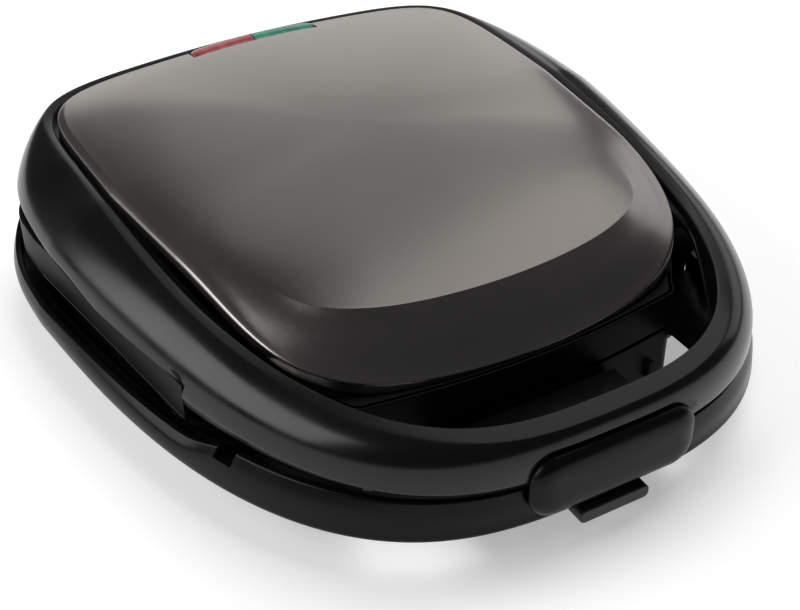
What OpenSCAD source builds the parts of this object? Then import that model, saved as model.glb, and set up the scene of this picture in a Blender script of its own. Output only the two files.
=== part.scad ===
// Sandwich toaster: a hinged lid and a base, each with a cast grill plate and its heater.
// Millimetres. The table is z = 0, the front handle points to -Y, and x = 0 is the middle.

/* [Overall] */
// Width of the base skirt at its widest
body_w = 273; // [255:1:290]
// Depth from the front of the grip to the back of the lid
body_d = 297; // [285:1:310]
// Height of the lid's front lip above the table
lip_z = 36; // [34:1:42]
// Height of the lid's domed top above the table
top_z = 77; // [74:1:84]

/* [Lid housing] */
// Width of the lid housing at its lip
lid_w = 257; // [245:1:262]
// Height that the lip steps up along the sides
side_rise = 9.5; // [6:0.5:12]
// Height of the front bar of the handle above its lip
bar_h = 17.5; // [15:0.5:22]
// Width of the front bar's flat top
bar_top = 7.5; // [6:0.5:10]
// Wall of the lid housing
lid_wall = 2.5; // [2:0.1:3]

/* [Lid cover] */
// Width of the metal cover
cover_w = 203; // [190:1:206]
// Depth of the metal cover, from its front edge to its back edge
cover_d = 228; // [215:1:232]
// Height of the cover's front edge above the lip
cover_front_h = 8; // [6:0.5:10]
// Place of the front crease, from 0 in the middle of the cover to 1 at its edge
cover_crease = 0.875; // [0.8:0.005:0.92]
// Thickness of the cover sheet
cover_t = 0.9; // [0.6:0.1:1.5]
// Width of the rolled band along the cover's edge
roll_w = 3.6; // [2.5:0.1:5]

/* [Signal lights] */
// Length of each light lens
lens_l = 30; // [24:1:36]
// Width of the light lenses
lens_w = 8; // [6:0.5:9]
// Thickness of the light lenses
lens_t = 4.4; // [3.6:0.1:5]
// How far the lenses stand over the cover's back edge
lens_rise = 2.6; // [2:0.1:3]

/* [Lid liner] */
// Bottom of the liner below the lip
liner_drop = 8; // [7:0.5:9]
// Width of the liner across the two side guards, at their front ends
guard_w = 229; // [226:1:233]
// How far the side guards spread per millimetre towards the back
guard_flare = 0.12; // [0.09:0.01:0.13]
// Height of the side guards' rounded front ends
guard_h = 22; // [20:0.5:25]
// Wall of the liner
liner_wall = 2.2; // [1.8:0.1:2.6]

/* [Grip and latch] */
// Length of the grip pad
grip_l = 68; // [60:1:76]
// Height of the grip pad
grip_h = 25.5; // [23:0.5:28]
// How far the grip pad hangs below the lip
grip_drop = 16; // [15:0.5:17]
// Thickness of the grip pad at its crown
grip_t = 5.2; // [5:0.1:7]
// Width of the latch lever
latch_w = 29; // [24:1:31]
// Thickness of the latch lever
latch_t = 3; // [2.5:0.1:3.5]
// Diameter of the latch pin
latch_pin_d = 2.6; // [2.2:0.1:3]
// Running clearance of the latch pin, on the radius
latch_gap = 0.05; // [0.03:0.01:0.08]

/* [Base] */
// Height of the skirt's underside above the table
skirt_z = 15.5; // [13:0.5:17]
// Gap between the lid's lip and the base's rim at the front
rim_gap = 4; // [3:0.5:6]
// How far the rim dips along the sides
rim_dip = 6; // [4:0.5:8]
// Wall of the base skirt
skirt_wall = 2.5; // [2:0.1:3]
// Half width of the tongue that carries the front skirt
tongue_half = 37; // [32:1:42]
// Height of the tub's floor above the table
floor_z = 6; // [5:0.5:8]
// Gap between the lid liner and the base tub
parting = 1.5; // [1.2:0.1:2]
// Wall of the base tub
tub_wall = 2.5; // [2:0.1:3]
// Diameter of the feet
foot_d = 16; // [12:1:20]
// Diameter of the hole for the mains lead
cord_hole_d = 7.4; // [6:0.1:8]

/* [Plates] */
// Width of the grill plates
plate_w = 214; // [204:1:216]
// Thickness of the grill plates
plate_t = 3; // [2.5:0.5:4]
// Depth of the sandwich pockets
pocket_h = 7; // [5:0.5:8]
// Gap between the closed plates
plate_gap = 0.6; // [0.5:0.1:1]
// Diameter of the heater tubes
heater_d = 6.4; // [5.6:0.2:6.8]
// Diameter of the screws
screw_d = 3; // [2.6:0.1:3.4]

/* [Hinge] */
// Distance from each hinge to the middle
hinge_x = 74; // [60:1:80]
// Diameter of the hinge pins
pin_d = 5; // [4:0.5:6]
// Running clearance of the hinge pins, on the radius
pin_gap = 0.05; // [0.03:0.01:0.09]
// Radius of the hinge knuckles
knuckle_r = 5.6; // [5:0.1:6]
// Width of a lid knuckle
knuckle_w = 18; // [14:1:22]
// Width of a base ear
ear_w = 6; // [5:0.5:8]
// Side gap between a knuckle and an ear
ear_gap = 0.4; // [0.3:0.1:0.6]

/* [Hidden] */
$fn = 48;

front = -body_d / 2;
back = body_d / 2;
wide_y = back - 103.5;   // where every outline is widest
grip_y = front + 6;      // plane of the front skirt, behind the grip pad
hinge_y = back - 5.5;
hinge_z = lip_z + 2;
liner_z = lip_z - liner_drop;
tub_top = liner_z - parting;
floor_t = 3;                          // floor of the liner
grip_seat = front + 5.3;              // the pad's back face
latch_y = front + 9.1;
latch_z = lip_z + 7;
plate_z = tub_top + 0.5;              // face of the lower plate
upper_face = plate_z + plate_gap;     // face of the upper plate

// Outlines seen from above: half width, front y, back y, fullness of the front,
// fullness of the back, taper towards the front, bow of the front edge.
lip = [lid_w / 2, front + 4, back, 3, 3.2, 0.12, 0];
crest = [lid_w / 2 - 22, front + 6.2, back - 8, 2.8, 6, 0.02, 0];
inner = [cover_w / 2 + 1.8, crest[1] + bar_top, back - 12, 3, 6.3, 0.06, 0];
cover = [cover_w / 2, back - 13.5 - cover_d, back - 13.5, 6.5, 6.3, 0.115, 15];
rim = [body_w / 2 - 1.5, grip_y + 0.5, hinge_y - 1.5, 3, 3, 0.16, 0];
belly = [body_w / 2, grip_y, hinge_y - 1, 3, 3, 0.125, 0];
sole = [body_w / 2 - 2.5, grip_y + 0.5, hinge_y - 2, 3, 3, 0.11, 0];
plate = [plate_w / 2, cover[1] + 17, back - 35.5, 5, 4, 0.06, 0];

// The stations round an outline: the right half from front to back, then mirrored.
// Two stations lie together at the step in the lid's lip.
step_a = -28;
half_a = concat([for (k = [0:16]) -90 + (step_a + 90) * k / 16],
    [for (k = [0:30]) step_a + 0.1 + (90 - step_a - 0.1) * k / 30]);
last_a = len(half_a) - 1;
stations = concat(half_a, [for (k = [1:last_a - 1]) 180 - half_a[last_a - k]]);

function mix(a, b, s) = a + (b - a) * s;
function clamp01(s) = min(1, max(0, s));
function ease(s) = clamp01(s) * clamp01(s) * (3 - 2 * clamp01(s));
// How far a station lies towards the front, from 0 at the widest place to 1.
function frontness(a) = max(0, plan_v(a, 3));
function plan_v(a, n) = -sin(a) / pow(pow(abs(cos(a)), n) + pow(abs(sin(a)), n), 1 / n);
function is_side(a) = abs(sin(a)) < abs(sin(step_a)) || sin(a) > 0;

// The point of an outline at the direction a.
function plan_pt(p, a) =
    let (n = sin(a) < 0 ? p[3] : p[4],
        r = pow(pow(abs(cos(a)), n) + pow(abs(sin(a)), n), 1 / n),
        u = cos(a) / r,
        v = sin(a) / r,
        reach = v < 0 ? wide_y - p[1] : p[2] - wide_y)
    [p[0] * u * (1 - p[5] * max(0, -v)),
        wide_y + v * reach + p[6] * u * u * pow(max(0, -v), 3)];

// The outward direction of an outline at the direction a.
function plan_out(p, a) =
    let (t = plan_pt(p, a + 1) - plan_pt(p, a - 1)) [t[1], -t[0]] / norm(t);

function at_z(p, z) = [p[0], p[1], z];
function plan_list(p, grow = 0) =
    [for (a = stations) plan_pt(p, a) + plan_out(p, a) * grow];

// A closed band: the same closed section at every station.
module band(sections) {
    n = len(sections);
    m = len(sections[0]);
    polyhedron(points = [for (s = sections) each s],
        faces = [for (i = [0:n - 1]) for (j = [0:m - 1])
            let (a = i * m + j,
                b = i * m + (j + 1) % m,
                c = ((i + 1) % n) * m + (j + 1) % m,
                d = ((i + 1) % n) * m + j)
            each [[a, c, b], [a, d, c]]]);
}

// A closed shell: rings from the middle of the top to the middle of the underside.
module shell(rings, top_point, under_point) {
    n = len(rings[0]);
    m = len(rings);
    end = n * m;
    polyhedron(points = concat([for (r = rings) each r], [top_point, under_point]),
        faces = concat(
            [for (i = [0:n - 1]) [end, (i + 1) % n, i]],
            [for (k = [0:m - 2]) for (i = [0:n - 1])
                let (a = k * n + i,
                    b = k * n + (i + 1) % n,
                    c = (k + 1) * n + (i + 1) % n,
                    d = (k + 1) * n + i)
                each [[a, b, c], [a, c, d]]],
            [for (i = [0:n - 1])
                [end + 1, (m - 1) * n + i, (m - 1) * n + (i + 1) % n]]));
}

function arc_pts(cx, cy, r, a0, a1, n) =
    [for (k = [0:n]) [cx + r * cos(mix(a0, a1, k / n)), cy + r * sin(mix(a0, a1, k / n))]];

module mirrored() {
    children();
    mirror([1, 0, 0]) children();
}

// A cylinder along X, centred on x.
module rod(d, l, x = 0) {
    translate([x - l / 2, 0, 0]) rotate([0, 90, 0]) cylinder(d = d, h = l);
}

// ---- Lid housing -------------------------------------------------------------

// Heights along the lid housing.
bar_z = lip_z + bar_h;
side_crest_z = lip_z + 29.2;
function lip_h(a) = is_side(a) ? lip_z + side_rise : lip_z;
function crease_h(a) = is_side(a) ? 3.5 : mix(4.5, 1, ease((frontness(a) - 0.5) / 0.5));
function crest_z(a) =
    let (back_v = max(0, -plan_v(a, 6)), mid = 1 - pow(abs(cos(a)), 2))
    frontness(a) > 0 ? mix(side_crest_z, bar_z, frontness(a))
        : side_crest_z + back_v * back_v * (5 * pow(mid, 2) - 1.7);
function inner_z(a) = crest_z(a) + mix(-0.6, 1.5, ease(frontness(a) * 1.6 - 0.6));
// Bottom of the wall round the handle opening; further back it only backs the cover.
function inner_low(a) =
    mix(inner_z(a) - 6, lip_z + 2, ease((frontness(a) - 0.62) / 0.2));

function wall_pt(a, s, inset) =
    let (c = plan_pt(crest, a),
        l = plan_pt(lip, a),
        out = plan_out(lip, a),
        low = lip_h(a) + crease_h(a),
        across = mix(s, sin(90 * s), 0.65),
        up = mix(1 - s, cos(90 * s), 0.65),
        bulge = 1.3 * frontness(a) * sin(180 * s) - inset * sin(90 * s),
        p = mix(c, l, across) + out * bulge)
    at_z(p, mix(low, crest_z(a), up) - inset * cos(90 * s));

function ring_section(a) =
    let (i = plan_pt(inner, a),
        io = i + plan_out(inner, a) * 2.2,
        l = plan_pt(lip, a),
        out = plan_out(lip, a),
        under = plan_pt(cover, a) - plan_out(cover, a) * 0.8,
        shelf = mix(i - plan_out(inner, a) * 0.4, under, ease((0.66 - frontness(a)) / 0.08)))
    concat(
        [at_z(i, inner_z(a))],
        [for (s = [0:0.2:1.001]) wall_pt(a, s, 0)],
        [at_z(l - out * 0.7, lip_h(a)), at_z(l - out * (0.7 + lid_wall), lip_h(a))],
        [for (s = [1:-0.2:-0.001]) wall_pt(a, s, lid_wall)],
        [at_z(io, inner_z(a) - lid_wall), at_z(io, inner_low(a)),
            at_z(shelf, inner_low(a)), at_z(shelf, inner_low(a) + 2),
            at_z(i, inner_low(a) + 2.3)]);

module lid_ring() {
    color([0.05, 0.05, 0.055]) difference() {
        union() {
            band([for (a = stations) ring_section(a)]);
            mirrored() lid_knuckle();
            mirrored() latch_ear();
            mirrored() for (p = ring_posts)
                translate([p[0], p[1], liner_z + floor_t]) cylinder(d = 7, h = p[2]);
        }
        translate([0, hinge_y, hinge_z]) mirrored()
            rod(pin_d + 2 * pin_gap, knuckle_w + 10, hinge_x);
        translate([0, latch_y, latch_z]) rod(latch_pin_d + 0.04, latch_w + 14.2);
        each_ring_post() translate([0, 0, -1]) cylinder(d = screw_d, h = 14);
        grip_recess();
        each_grip_screw() {
            translate([0, 0, -3]) cylinder(d = screw_d + 0.3, h = 4);
            translate([0, 0, -4.3]) cylinder(d = 6.6, h = 3);
        }
        translate([-lens_l - 1, cover[2] - lens_w - 3, lip_z]) cube([2 * lens_l + 2, lens_w + 4.2, 28.2]);
        mirrored() guard_end(0.15);
    }
}

// A hinge knuckle under the back wall of the lid, with its arm.
module lid_knuckle() {
    arm_y = back - 3.2;
    translate([hinge_x - knuckle_w / 2, 0, 0]) {
        translate([0, hinge_y, hinge_z]) rotate([0, 90, 0])
            cylinder(r = knuckle_r, h = knuckle_w);
        translate([0, hinge_y - knuckle_r, hinge_z])
            cube([knuckle_w, arm_y - hinge_y + knuckle_r, lip_z + side_rise + 8 - hinge_z]);
    }
}

// The posts by which the lid housing is screwed to the liner.
ring_posts = [[lid_w / 2 - 18.5, back - 140.5, 28.2], [lid_w / 2 - 18.5, back - 74.5, 30.2]];
module each_ring_post() {
    mirrored() for (p = ring_posts)
        translate([p[0], p[1], liner_z + floor_t]) children();
}

// The pocket in the front bar that the grip pad sits in.
module grip_recess() {
    w = grip_l + 5;
    top = lip_z - grip_drop + grip_h + 2.5;
    translate([0, grip_seat, top - 40]) rotate([90, 0, 0])
        linear_extrude(20) round_rect(w, 80, 12);
}
module round_rect(w, h, r) {
    polygon(concat(
        arc_pts(w / 2 - r, h / 2 - r, r, 0, 90, 6),
        arc_pts(r - w / 2, h / 2 - r, r, 90, 180, 6),
        arc_pts(r - w / 2, r - h / 2, r, 180, 270, 6),
        arc_pts(w / 2 - r, r - h / 2, r, 270, 360, 6)));
}

// The bearings of the latch pin inside the front bar.
module latch_ear() {
    translate([latch_w / 2 + 3.4, latch_y - 3.2, lip_z + 3]) cube([4, 6.4, 9]);
}

// ---- Metal cover ---------------------------------------------------------------

cover_mid = [0, back - 116.5];
function edge_z(a) =
    let (y = plan_pt(cover, a)[1],
        s = clamp01((cover[1] + 89 - y) / 89),
        drop = side_crest_z + 1.8 - lip_z - cover_front_h,
        back_v = max(0, -plan_v(a, 6)),
        mid = 1 - pow(abs(cos(a)), 2))
    side_crest_z + 1.8 - drop * pow(s, 2.1) + back_v * back_v * (5.5 * pow(mid, 2) - 2.6);
// The dome is one soft curve at the sides. In front it falls gently to a crease, and from
// there straight to the front edge.
function cover_top(a, r) =
    let (edge = edge_z(a) + mix(1.6, 0.8, frontness(a)),
        soft = mix(0.85, 0.42, ease(frontness(a) * 1.3 - 0.2)),
        dome = mix(top_z, edge, soft * r * r),
        crease = mix(top_z, edge, soft * pow(cover_crease, 2)),
        creased = r < cover_crease ? dome
            : mix(crease, edge, (r - cover_crease) / (1 - cover_crease)))
    mix(dome - (top_z - edge) * (1 - soft) * pow(r, 12), creased,
        ease((frontness(a) - 0.62) / 0.3));
// Width of the rolled edge: wide at the sides and back, a thin lip in front.
function roll_at(a) = mix(roll_w, cover_t + 0.3, ease((frontness(a) - 0.55) / 0.3));
function cover_ring(r, z_off) =
    [for (a = stations)
        let (e = plan_pt(cover, a) - plan_out(cover, a) * roll_at(a))
        at_z(mix(cover_mid, e, r), cover_top(a, r) + z_off)];
function cover_edge(inset, z_off) =
    [for (a = stations)
        at_z(plan_pt(cover, a) - plan_out(cover, a) * inset, edge_z(a) + z_off)];

module lid_cover() {
    steps = [0.22, 0.42, 0.58, 0.7, 0.8, cover_crease, 0.91, 0.94, 0.97, 1];
    under = [1, 0.94, cover_crease, 0.7, 0.42];
    color([0.42, 0.4, 0.38]) difference() {
        shell(concat(
                [for (r = steps) cover_ring(r, 0)],
                [cover_edge(0, 0), cover_edge(0, -4.5), cover_edge(cover_t, -4.5),
                    cover_edge(cover_t, -cover_t)],
                [for (r = under) cover_ring(r, -cover_t)]),
            at_z(cover_mid, top_z), at_z(cover_mid, top_z - cover_t));
        translate([0, 0, lip_z + 20]) linear_extrude(30) polygon(concat(
            [for (k = [-8:8]) let (x = (lens_l + 0.4) * k / 8) [x, lens_front(x) - 0.3]],
            [[lens_l + 0.4, cover[2] + 3.4], [-lens_l - 0.4, cover[2] + 3.4]]));
    }
}

// A lens strip on the back edge of the cover, with a rounded outer end.
function lens_front(x) = cover[2] - lens_w - 0.3 - 0.0011 * x * x;
module lens(side) {
    gap = 0.25;
    steps = 10;
    function half_at(x) =
        let (d = max(0, x - (lens_l - lens_w / 2)), r = lens_w / 2)
        sqrt(max(0.16, r * r - d * d));
    top = edge_z(90) + lens_rise;
    secs = [for (k = [0:steps])
        let (x = mix(gap, lens_l, k / steps),
            h = half_at(x),
            yc = lens_front(x) + lens_w / 2,
            z = top - 0.0012 * x * x)
        [[side * x, yc - h, z - 0.4], [side * x, yc - h * 0.5, z + 0.3],
            [side * x, yc + h * 0.5, z], [side * x, yc + h, z - 1],
            [side * x, yc + h, z - lens_t], [side * x, yc - h, z - lens_t]]];
    m = 6;
    flip = side > 0;
    quads = [for (k = [0:steps - 1]) for (j = [0:m - 1])
        let (a = k * m + j, b = k * m + (j + 1) % m, c = b + m, d = a + m)
        each [[a, b, c], [a, c, d]]];
    caps = concat([for (j = [1:m - 2]) [0, j + 1, j]],
        [for (j = [1:m - 2]) [steps * m, steps * m + j, steps * m + j + 1]]);
    faces = concat(quads, caps);
    polyhedron(points = [for (s = secs) each s],
        faces = [for (f = faces) flip ? f : [f[0], f[2], f[1]]]);
}
module red_lens() { color([0.72, 0.25, 0.25]) lens(-1); }
module green_lens() { color([0.2, 0.7, 0.5]) lens(1); }

// The clear block behind the lenses, and the two lamps in it.
carrier_z = edge_z(90) + lens_rise - lens_t - 1.3;
module lamp_carrier() {
    color([0.85, 0.85, 0.8]) difference() {
        translate([-lens_l, cover[2] - lens_w - 0.3, carrier_z - 9])
            cube([2 * lens_l, lens_w - 1, 9]);
        mirrored() translate([0, cover[2] - lens_w / 2 - 0.8, carrier_z - 5.5])
            rod(3.4, 15, lens_l / 2);
    }
}
module lamps() {
    color([0.95, 0.6, 0.35]) translate([0, cover[2] - lens_w / 2 - 0.8, carrier_z - 5.5])
        mirrored() rod(3.2, 14, lens_l / 2);
}

// ---- Lid liner -----------------------------------------------------------------

guard_y = cover[1] + 36;     // front ends of the side guards
guard_back = back - 84.5;    // where the side guards end
fin_y = guard_y + 7.6;       // where the guards' raised front ends stand
nose_x = guard_w / 2 - 12.5; // centre of the hollow curve beside the nose
tub_side = guard_w / 2 + 0.5;
liner_front = cover[1] - 2.5;

function guard_x(y) = guard_w / 2 + guard_flare * (y - guard_y);

// Half of the body's outline in front: the wall under the cover's front edge.
function nose_half(inset, end_y) = concat(
    [for (k = [0:3]) let (x = (nose_x - 54) * k / 3) [x, liner_front + inset + 0.0014 * x * x]],
    arc_pts(nose_x - 38, liner_front + 13.2, 7.5 - inset, -78, -15, 5),
    arc_pts(nose_x, liner_front + 22, 20 + inset, 168,
        180 - asin((end_y + inset - liner_front - 22) / (20 + inset)), 5));

// Half of the outline behind it, with the side guards.
function guard_half(inset) = concat(
    arc_pts(guard_w / 2 - 10.8, guard_y + 6, 6 - inset, -90, 0, 6),
    [[guard_w / 2 - 4.8 - inset, fin_y - 0.2 + inset],
        [guard_x(fin_y) - inset, fin_y - 0.2 + inset]],
    [[guard_x(guard_back) - inset, guard_back]],
    arc_pts(guard_x(guard_back) - 34, guard_back + 12, 34 - inset, 4, 82, 8),
    [[40, back - 19 - inset], [0, back - 18 - inset]]);
function liner_half(inset) = concat(nose_half(inset, guard_y), guard_half(inset));

// Half of the tub's outline: it lies inside the guards.
function tub_half(inset) = concat(
    nose_half(inset, guard_y + 2),
    arc_pts(tub_side - 17, guard_y + 16, 14 - inset, -90, 0, 6),
    [[tub_side - inset, guard_back]],
    arc_pts(tub_side - 34, guard_back + 12, 34 - inset, 4, 82, 8),
    [[40, back - 22 - inset], [0, back - 21 - inset]]);

// Both halves of an outline whose half starts and ends on the middle line.
function full(half) =
    let (n = len(half)) concat(half, [for (k = [n - 2:-1:1]) [-half[k][0], half[k][1]]]);

module plate_hole(z, h, grow) {
    translate([0, 0, z]) linear_extrude(h) polygon(plan_list(plate, grow));
}

// The places of the plate screws, front and back.
module each_plate_screw(z) {
    mirrored() {
        translate([plate_w / 2 - 49, plate[1] + 18, z]) children();
        translate([plate_w / 2 - 33, plate[2] - 12, z]) children();
    }
}

module upper_liner() {
    nose_top = lip_z + cover_front_h - 0.9;
    side_top = lip_z + side_rise - 0.3;
    cavity = liner_z + floor_t;
    color([0.06, 0.06, 0.065]) {
        difference() {
            union() {
                translate([0, 0, liner_z]) linear_extrude(nose_top - liner_z)
                    polygon(full(concat(nose_half(0, guard_y),
                        [[nose_x - 2, guard_y + 6], [0, guard_y + 8]])));
                translate([0, 0, liner_z]) linear_extrude(2)
                    polygon(full(concat([[0, guard_y + 2], [nose_x - 2, guard_y + 2]],
                        guard_half(2))));
                translate([0, 0, liner_z + 2]) linear_extrude(side_top - liner_z - 2)
                    polygon(full(concat([[0, guard_y + 2], [nose_x - 2, guard_y]], guard_half(0))));
                mirrored() guard_end();
            }
            translate([0, 0, cavity]) linear_extrude(60) polygon(full(liner_half(liner_wall)));
            plate_hole(liner_z - 1, floor_t + 2, 1);
            mirrored() hinge_bay(liner_z - 1, 60);
            each_ring_post() translate([0, 0, -floor_t - 1]) {
                cylinder(d = screw_d + 0.3, h = floor_t + 2);
                cylinder(d = 6.2, h = 1 + 1.7);
            }
        }
        cover_spigot(cavity - 0.3);
        translate([0, 0, nose_top - 2]) linear_extrude(2) difference() {
            polygon(full(concat(nose_half(0.5, guard_y),
                [[nose_x - 14, guard_y + 5], [0, guard_y + 5]])));
            polygon(plan_list(cover, 0.4));
        }
        each_plate_screw(0) plate_post(upper_face + plate_t, 40);
        mirrored() {
            translate([plate_w / 2 - 50, liner_front + 6.2, cavity + 0.2]) cube([2, 28.8, 8]);
            translate([plate_w / 2 - 34, plate[2] - 9, cavity + 0.2]) cube([2, 13, 8]);
        }
    }
}

// A post that a plate is screwed to, with its pilot hole.
module plate_post(z0, z1) {
    translate([0, 0, z0]) difference() {
        cylinder(d = 7, h = z1 - z0);
        translate([0, 0, -1]) cylinder(d = screw_d, h = z1 - z0 + 2);
    }
}

// The raised front end of a side guard, rounded towards the handle.
module guard_end(room = 0) {
    top = liner_z + guard_h;
    low = lip_z + side_rise - 1;
    translate([guard_x(fin_y) + room, fin_y, 0]) rotate([0, 0, -atan(guard_flare)])
        rotate([90, 0, -90]) linear_extrude(2.6 + 2 * room) offset(delta = room)
        polygon(concat([[0, liner_z + 3], [-46, low], [-46, low + 1.3]],
            [[-26, low + 2.3], [-12, top - 1.4]], arc_pts(-5, top - 5, 5, 95, 0, 7)));
}

// An upstand inside the front of the cover's edge, which the cover fits over.
module cover_spigot(z) {
    function spigot(inset, drop) =
        [for (a = stations)
            at_z(plan_pt(cover, a) - plan_out(cover, a) * inset, edge_z(a) - drop)];
    outer = spigot(cover_t + 0.3, 1.6);
    inside = spigot(cover_t + 2.3, 1.6);
    intersection() {
        band([for (k = [0:len(stations) - 1])
            [outer[k], [outer[k][0], outer[k][1], z],
                [inside[k][0], inside[k][1], z], inside[k]]]);
        translate([-body_w, -body_d, 0]) cube([2 * body_w, body_d + guard_y + 8, top_z + 20]);
    }
}

// Room at the back for one hinge knuckle and its ears.
module hinge_bay(z, h) {
    w = knuckle_w + 2 * (ear_w + ear_gap) + 3;
    translate([hinge_x - w / 2, hinge_y - 12, z]) cube([w, 30, h]);
}

// ---- Grill plates ----------------------------------------------------------------

// A triangle with rounded corners, drawn in by d, as a list of points.
function round_tri(t, d, r) =
    let (la = norm(t[1] - t[2]),
        lb = norm(t[2] - t[0]),
        lc = norm(t[0] - t[1]),
        mid = (la * t[0] + lb * t[1] + lc * t[2]) / (la + lb + lc),
        area = abs((t[1][0] - t[0][0]) * (t[2][1] - t[0][1])
            - (t[2][0] - t[0][0]) * (t[1][1] - t[0][1])) / 2,
        size = 2 * area / (la + lb + lc),
        k = 1 - (d + r) / size,
        c = [for (p = t) mid + (p - mid) * k],
        n = [for (i = [0:2]) let (e = t[(i + 1) % 3] - t[i]) atan2(-e[0], e[1])])
    [for (i = [0:2])
        let (a0 = n[(i + 2) % 3],
            turn = n[i] - a0 + (n[i] < a0 ? 360 : 0))
        each [for (j = [0:4]) c[i] + r * [cos(a0 + turn * j / 4), sin(a0 + turn * j / 4)]]];

// The two triangles of one sandwich pocket.
pocket_x = [5, plate_w / 2 - 12];
pocket_y = [plate[1] + 34, plate[2] - 28];
tri_a = [[pocket_x[0], pocket_y[0]], [pocket_x[1], pocket_y[0]], [pocket_x[0], pocket_y[1]]];
tri_b = [[pocket_x[1], pocket_y[1]], [pocket_x[0], pocket_y[1]], [pocket_x[1], pocket_y[0]]];

// A pocket's hollow, or with wall > 0 the cast shape round it.
module pocket(t, wall) {
    rims = [[0, 1.5], [0, 0], [0.5, -0.25], [1.6, -0.7], [4, -0.94], [9, -1]];
    depth = pocket_h + wall;
    rings = [for (q = rims)
        let (pts = round_tri(t, 3 + q[0] - wall, 6))
        [for (p = pts) at_z(p, q[1] > 0 ? (wall > 0 ? 0 : q[1]) : q[1] * depth)]];
    used = wall > 0 ? [for (k = [1:len(rings) - 1]) rings[k]] : rings;
    mid = (t[0] + t[1] + t[2]) / 3;
    top = used[0][0][2];
    shell(used, at_z(mid, top), at_z(mid, -depth));
}

// A grill plate facing up with its face at z = 0.
module grill_plate() {
    difference() {
        union() {
            translate([0, 0, -plate_t]) linear_extrude(plate_t) polygon(plan_list(plate));
            for (m = [0, 1]) mirror([m, 0, 0]) {
                translate([0, 0, -1]) pocket(tri_a, 2);
                translate([0, 0, -1]) pocket(tri_b, 2);
            }
        }
        for (m = [0, 1]) mirror([m, 0, 0]) {
            pocket(tri_a, 0);
            pocket(tri_b, 0);
        }
        each_plate_screw(0) {
            translate([0, 0, -plate_t - 1]) cylinder(d = screw_d + 0.3, h = plate_t + 2);
            translate([0, 0, -2]) cylinder(d = 6.4, h = 4);
        }
    }
}
module lower_plate() {
    color([0.13, 0.13, 0.14]) translate([0, 0, plate_z]) grill_plate();
}
module upper_plate() {
    color([0.13, 0.13, 0.14]) translate([0, 0, upper_face]) mirror([0, 0, 1]) grill_plate();
}

// A round-head screw whose head rests on z = 0, with its shank below.
module screw(l) {
    difference() {
        union() {
            cylinder(d1 = 5.6, d2 = 4.8, h = 1.5);
            translate([0, 0, -l]) cylinder(d = screw_d - 0.1, h = l + 0.2);
        }
        translate([-2, -0.4, 0.9]) cube([4, 0.8, 1]);
        translate([-0.4, -2, 0.9]) cube([0.8, 4, 1]);
    }
}
module lower_plate_screws() {
    color([0.6, 0.6, 0.6]) each_plate_screw(plate_z - 2) screw(9);
}
module upper_plate_screws() {
    color([0.6, 0.6, 0.6]) each_plate_screw(upper_face + 2) mirror([0, 0, 1]) screw(9);
}
module lid_screws() {
    color([0.6, 0.6, 0.6]) each_ring_post() translate([0, 0, 1.7 - floor_t])
        mirror([0, 0, 1]) screw(12);
}

// A heater tube bent into a loop, centred on z = 0, with both ends at the back.
module heater() {
    r = 18;
    hx = plate_w / 2 - 39;
    y0 = plate[1] + 38;
    y1 = plate[2] - 37;
    tail = 14;
    translate([0, y0, 0]) rod(heater_d, 2 * (hx - r));
    mirrored() {
        translate([hx - r, y0 + r, 0]) rotate([0, 0, -90]) bend(r);
        translate([hx, y0 + r, 0]) rotate([-90, 0, 0])
            cylinder(d = heater_d, h = y1 - y0 - 2 * r);
        translate([hx - r, y1 - r, 0]) bend(r);
        translate([tail + 8, y1, 0]) rotate([0, 90, 0])
            cylinder(d = heater_d, h = hx - r - tail - 8);
        translate([tail + 8, y1 + 8, 0]) rotate([0, 0, 180]) bend(8);
        translate([tail, y1 + 8, 0]) rotate([-90, 0, 0]) {
            cylinder(d = heater_d, h = 10);
            cylinder(d = 2.4, h = 18);
        }
    }
}
module bend(r) {
    rotate_extrude(angle = 90) translate([r, 0]) circle(d = heater_d, $fn = 32);
}
lower_heater_z = plate_z - pocket_h - 3.2 - heater_d / 2;
upper_heater_z = upper_face + pocket_h + 3.2 + heater_d / 2;
module lower_element() {
    color([0.35, 0.34, 0.33]) translate([0, 0, lower_heater_z]) heater();
}
module upper_element() {
    color([0.35, 0.34, 0.33]) translate([0, 0, upper_heater_z]) heater();
}

// A bright sheet behind a heater.
module reflector() {
    difference() {
        linear_extrude(0.6) polygon(plan_list(plate, -24));
        for (y = [plate[1] + 56:24:plate[2] - 36]) translate([0, y, -1]) cylinder(d = 8, h = 3);
    }
}
module lower_reflector() {
    color([0.75, 0.75, 0.76]) translate([0, 0, lower_heater_z - heater_d / 2 - 0.9])
        reflector();
}
module upper_reflector() {
    color([0.75, 0.75, 0.76]) translate([0, 0, upper_heater_z + heater_d / 2 + 0.3])
        reflector();
}

// ---- Base ------------------------------------------------------------------------

module base_tub() {
    color([0.05, 0.05, 0.055]) difference() {
        union() {
            difference() {
                translate([0, 0, floor_z]) linear_extrude(tub_top - floor_z)
                    polygon(full(tub_half(0)));
                translate([0, 0, floor_z - 1])
                    linear_extrude(tub_top - floor_z + 1 - tub_wall)
                    polygon(full(tub_half(tub_wall)));
                plate_hole(tub_top - tub_wall - 1, 10, 0.8);
            }
            each_plate_screw(0) plate_post(floor_z + 2, plate_z - plate_t);
            mirrored() {
                translate([plate_w / 2 - 50, liner_front + 6.2, floor_z + 2]) cube([2, 28.8, 8]);
                translate([plate_w / 2 - 34, plate[2] - 10, floor_z + 2]) cube([2, 9.3, 8]);
            }
        }
        mirrored() hinge_bay(floor_z - 1, 60);
        each_plate_screw(floor_z) cylinder(d = screw_d, h = 10);
        lead_hole();
    }
}

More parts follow.
